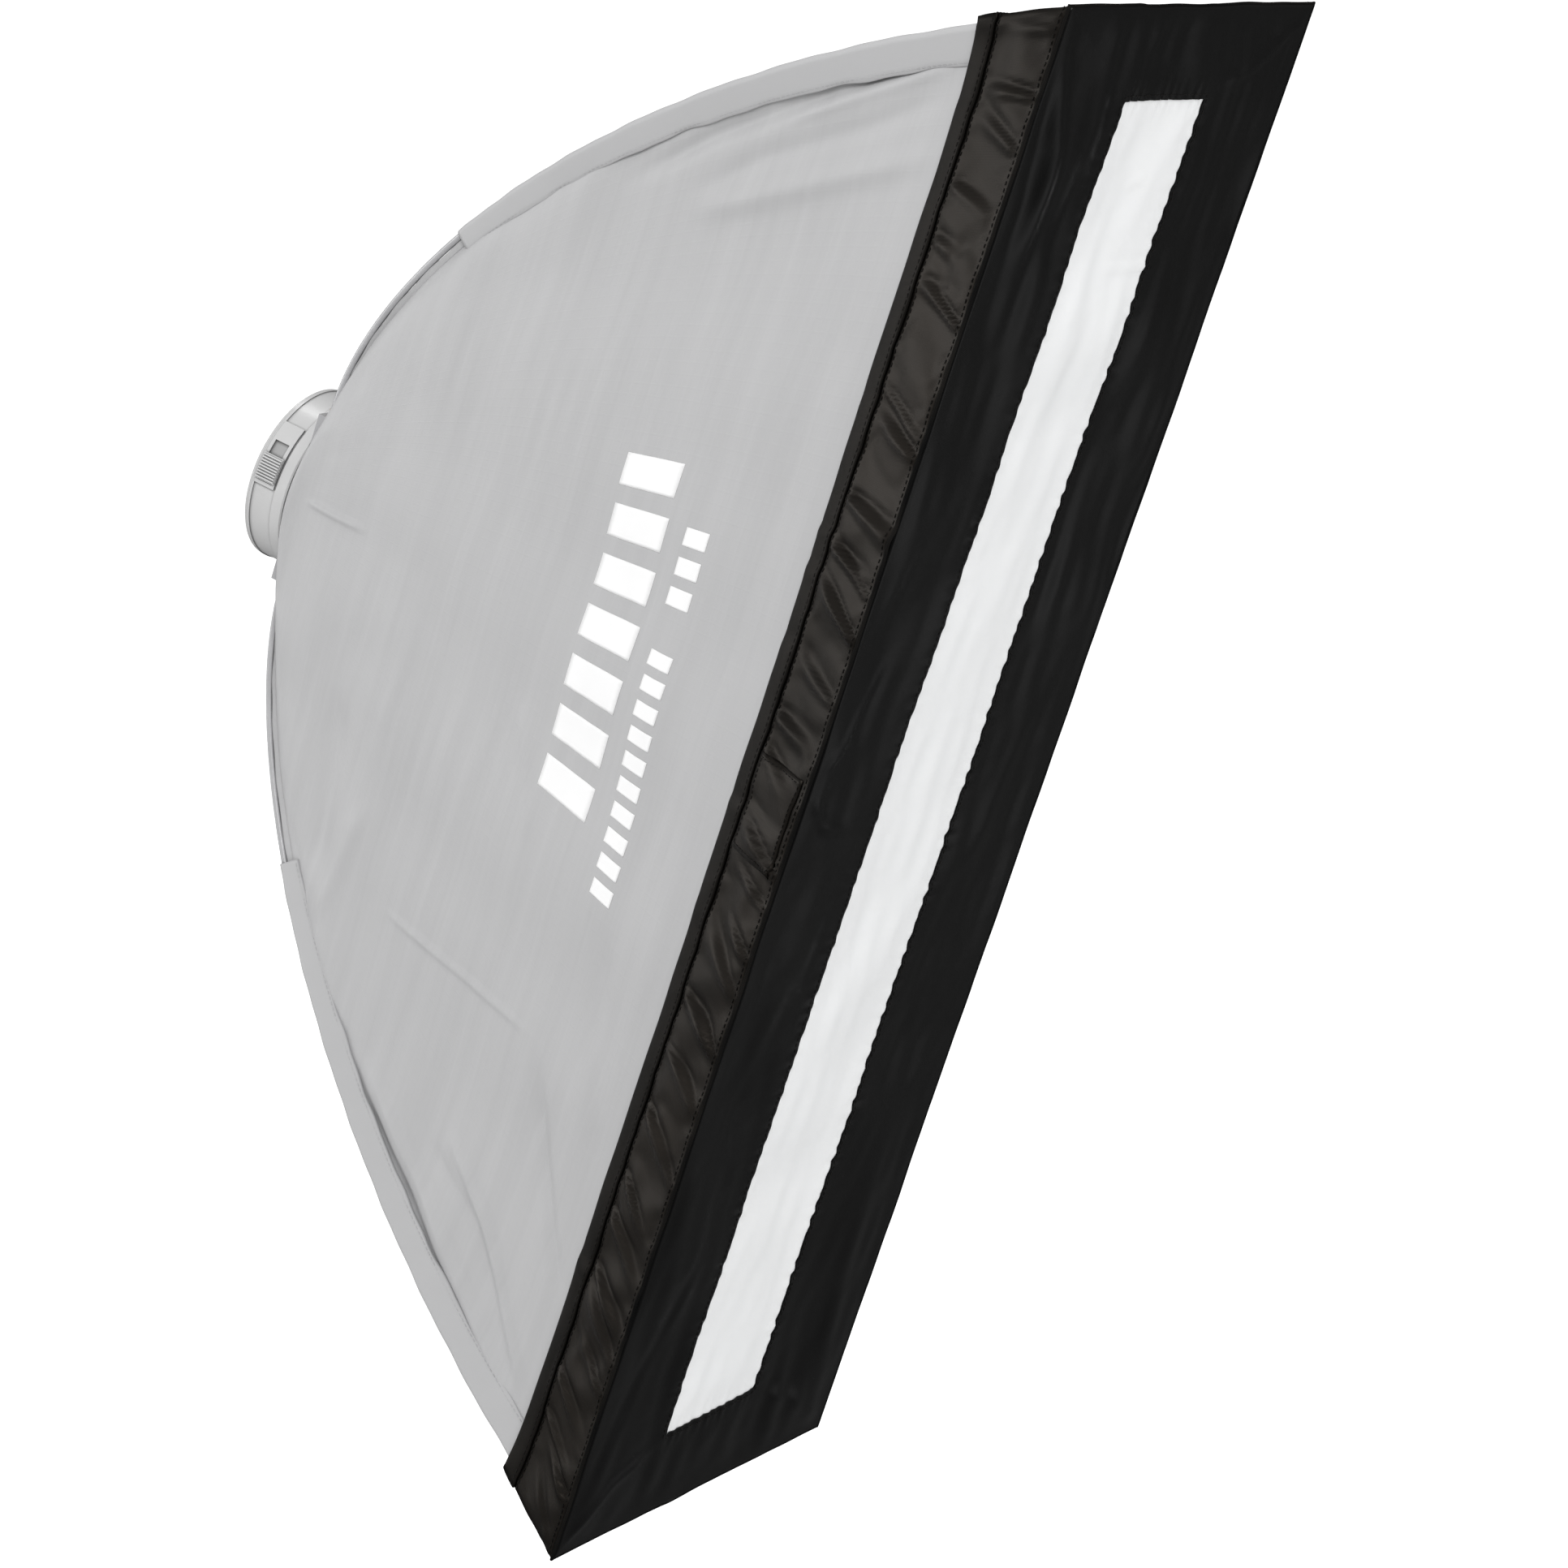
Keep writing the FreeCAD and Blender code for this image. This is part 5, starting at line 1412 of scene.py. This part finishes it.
HANGING_STEP = 5
TAPE_THICKNESS = 0.8
TAPE_CLEARANCE = 0.1
LANE_MARGIN = 0.1
STRAP_THICKNESS = 0.64
STRAP_START = np.array([BAFFLE_HIGH[0] - 8, BAFFLE_LOW[1] - 1.6, BAFFLE_HIGH[2] - 8])
STRAP_SEAM_SHARE = 0.66
STRAP_SHORTER = 18
STRAP_HALF_WIDTH = 6
STRAP_SAG = 1.8
LIP_SPANS = (("right", SIDE, 0.86), ("top", END, 0.72))
OTHER_SIDE = {"right": "left", "top": "bottom"}


def tape_pieces(name, lanes, replaced, body):
    """One mesh of four tapes."""
    parts = []
    for label, grid in lanes.items():
        parts.append(sheet(f"{name}_{label}", grid, TAPE_THICKNESS, "hook_tape", body))
    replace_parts(join(parts, name), replaced)


def lip_lanes(shares, offset):
    """Four lanes on the lip of the shell, between two shares of its depth."""
    lanes = {}
    for name, shape, span in LIP_SPANS:
        place = np.linspace(-span, span, 160)
        first, last = shape.hem_row(place), shape.lip_row(place)
        grid = first + (last - first) * np.linspace(*shares, 6)[:, None, None]
        wobble = 0.15 * np.sin(place * 41)[:, None]
        lanes[name] = grid + outward_normals(grid) * (offset + wobble)
        other = OTHER_SIDE[name]
        lanes[other] = lanes[name] * MIRROR[other]
    return lanes


def skirt_lanes(skirt_cloth, first, last):
    """Four lanes just inside the skirt, between two shares of its depth."""
    lanes = {}
    start = 0
    for name, count in zip(("left", "top", "right", "bottom"), (LONG_COUNT, SHORT_COUNT) * 2):
        margin = LANE_MARGIN * count
        columns = np.linspace(start + margin, start + count - margin, count)
        rows = (first * (SKIRT_ROWS - 1), last * (SKIRT_ROWS - 1))
        lanes[name] = surface_strip(skirt_cloth, *rows, 10, -CLOTH - TAPE_CLEARANCE, columns)
        start += count
    return lanes


def make_tapes(skirt_cloth):
    tape_pieces("shell_hooks", lip_lanes((0.35, 0.8), 0.95), "shell_hook_tapes", "softbox")
    tape_pieces("mask_loops", skirt_lanes(skirt_cloth, 0.35, 0.8), "mask_loop_tapes", "mask")
    tape_pieces("diffuser_holders", lip_lanes((0.05, 0.4), -0.95), "diffuser_tapes", "softbox")


def hanging_sheet(name, replaced, sag, seed):
    """White cloth that hangs between its corners, with soft waves."""
    low, high = box_mm(replaced)
    rows, columns = (int((high[axis] - low[axis]) / HANGING_STEP) for axis in (2, 0))
    x, z = np.meshgrid(np.linspace(low[0], high[0], columns), np.linspace(low[2], high[2], rows))
    edge = np.minimum.reduce([x - low[0], high[0] - x, z - low[2], high[2] - z])
    height = sag * ripples(seed, x, z, (60, 200)) * fade(edge, 25)
    height = height + 0.5 * ripples(seed + 1, x, z, (20, 50)) * fade(edge, 8)
    sheet(name, places(x, low[1] - height, z), STRIP_THICKNESS, "diffusion_fabric", "softbox",
          BEHIND, nodes=[replaced])


def make_strap(name, side, up):
    """Webbing strap from a snap on the baffle to the shell's corner, with a slight sag."""
    along = seam(np.array(STRAP_SEAM_SHARE)) - STRAP_START
    reach = np.linalg.norm(along) - STRAP_SHORTER
    along = unit(along)
    flat = unit(np.cross([0, 1, 0], along))
    steps = np.linspace(-STRAP_HALF_WIDTH, reach, 40)[:, None, None]
    widths = np.linspace(-STRAP_HALF_WIDTH, STRAP_HALF_WIDTH, 7)[None, :, None]
    drop = STRAP_SAG * np.sin(np.clip(steps / reach, 0, 1) * math.pi)
    grid = (STRAP_START + along * steps + flat * widths - np.array([0, 0, 1.0]) * drop) * [side, 1, up]
    sheet(f"strap_{name}", grid, STRAP_THICKNESS, "webbing", "softbox", BEHIND,
          nodes=[f"baffle_strap_{name}"])


def make_inside():
    hanging_sheet("diffuser_cloth", "front_diffuser", 1.2, 90)
    hanging_sheet("baffle_cloth", "inner_baffle", 0.8, 95)
    for name, (side, up) in CORNERS.items():
        make_strap(name, side, up)


# ---------------- stage

CAMERA_AIM = np.array([-184.7, FACE_Y, 28.8])
CAMERA_DISTANCE = 2660.6
CAMERA_HEADING = 64.86
CAMERA_RISE = 18.33
CAMERA_ROLL = 18.35
CAMERA_LENS = 116.8
SENSOR_WIDTH = 36
CAMERA_REACH_METRES = 200
WORLD_LIGHT = 0.52
WORLD_MIRRORED = 0.1
FLOOR_DROP = 900.0
FLOOR_HALF = 30000.0
LAMP_TARGET = Vector((0, -0.25, 0))
LAMPS = {
    "key": ((-2.6, -1.0, 2.2), 1.4, 66),
    "front": ((0.6, -3.2, 1.4), 1.6, 26),
    "rear": ((-1.1, 2.6, -0.3), 1.2, 26),
    "low": ((2.0, -2.5, -0.5), 1.2, 2.0),
    "top": ((0.4, 1.1, 2.6), 0.6, 12),
}


def linked(name, data):
    item = bpy.data.objects.new(name, data)
    bpy.context.scene.collection.objects.link(item)
    return item


def add_camera():
    heading, rise, roll = (math.radians(angle) for angle in (CAMERA_HEADING, CAMERA_RISE, CAMERA_ROLL))
    ahead = Vector((math.sin(heading) * math.cos(rise), math.cos(heading) * math.cos(rise), -math.sin(rise)))
    level = ahead.cross(Vector((0, 0, 1))).normalized()
    above = level.cross(ahead)
    right = level * math.cos(roll) + above * math.sin(roll)
    top = right.cross(ahead)
    place = Vector(CAMERA_AIM * MM) - ahead * (CAMERA_DISTANCE * MM)
    camera = bpy.data.cameras.new("camera")
    camera.lens = CAMERA_LENS
    camera.sensor_width = SENSOR_WIDTH
    camera.clip_end = CAMERA_REACH_METRES
    item = linked("camera", camera)
    item.matrix_world = Matrix.Translation(place) @ Matrix((right, top, -ahead)).transposed().to_4x4()
    bpy.context.scene.camera = item


def by_ray(tree, seen, mirrored, lighting):
    """A value for straight sight, one for reflections and one for diffuse light."""
    path = tree.nodes.new("ShaderNodeLightPath")
    glossy = scaled(tree, path.outputs["Is Glossy Ray"], mirrored - lighting)
    camera = scaled(tree, path.outputs["Is Camera Ray"], seen - lighting)
    return added(tree, added(tree, glossy, camera), lighting)


def add_world():
    world = bpy.data.worlds.new("studio")
    world.use_nodes = True
    tree = world.node_tree
    feed(tree, tree.nodes["Background"],
         {"Color": (1, 1, 1, 1), "Strength": by_ray(tree, 1.0, WORLD_MIRRORED, WORLD_LIGHT)})
    bpy.context.scene.world = world


def add_floor():
    """Large pale floor, well below the object."""
    level = START_BOUNDS[0].z - FLOOR_DROP * MM
    mesh = bpy.data.meshes.new("floor")
    corners = [(-1, -1), (1, -1), (1, 1), (-1, 1)]
    points = [(x * FLOOR_HALF * MM, y * FLOOR_HALF * MM, level) for x, y in corners]
    mesh.from_pydata(points, [], [(0, 1, 2, 3)])
    finish = Finish("floor", 0.9, specular=0.1)
    tree = finish.tree
    value = maths(tree, "SUBTRACT", by_ray(tree, 0.82, 0.12, 0.82), scaled(tree, finish.noise(2.0), 0.02))
    finish.set({"Base Color": value, "Emission Color": (1, 1, 1, 1),
                "Emission Strength": by_ray(tree, 0.75, 0.0, 0.0)})
    mesh.materials.append(finish.material)
    linked("floor", mesh)


def add_lamp(name, place, size, power):
    """Soft square lamp aimed at the middle of the box."""
    light = bpy.data.lights.new(name, "AREA")
    light.size = size
    light.energy = power
    lamp = linked(name, light)
    lamp.location = place
    lamp.rotation_euler = (LAMP_TARGET - lamp.location).to_track_quat("-Z", "Y").to_euler()


def add_stage():
    add_world()
    add_floor()
    for name, (place, size, power) in LAMPS.items():
        add_lamp(name, place, size, power)
    add_camera()
    bpy.context.scene.view_settings.view_transform = "Standard"


# ---------------- build

paint_hard_pieces()
shell_panels = make_shell()
make_opening_binding(shell_panels)
make_sleeves()
skirt = make_skirt()
make_tag(skirt)
make_face()
make_strip()
make_tapes(skirt)
make_inside()
add_stage()
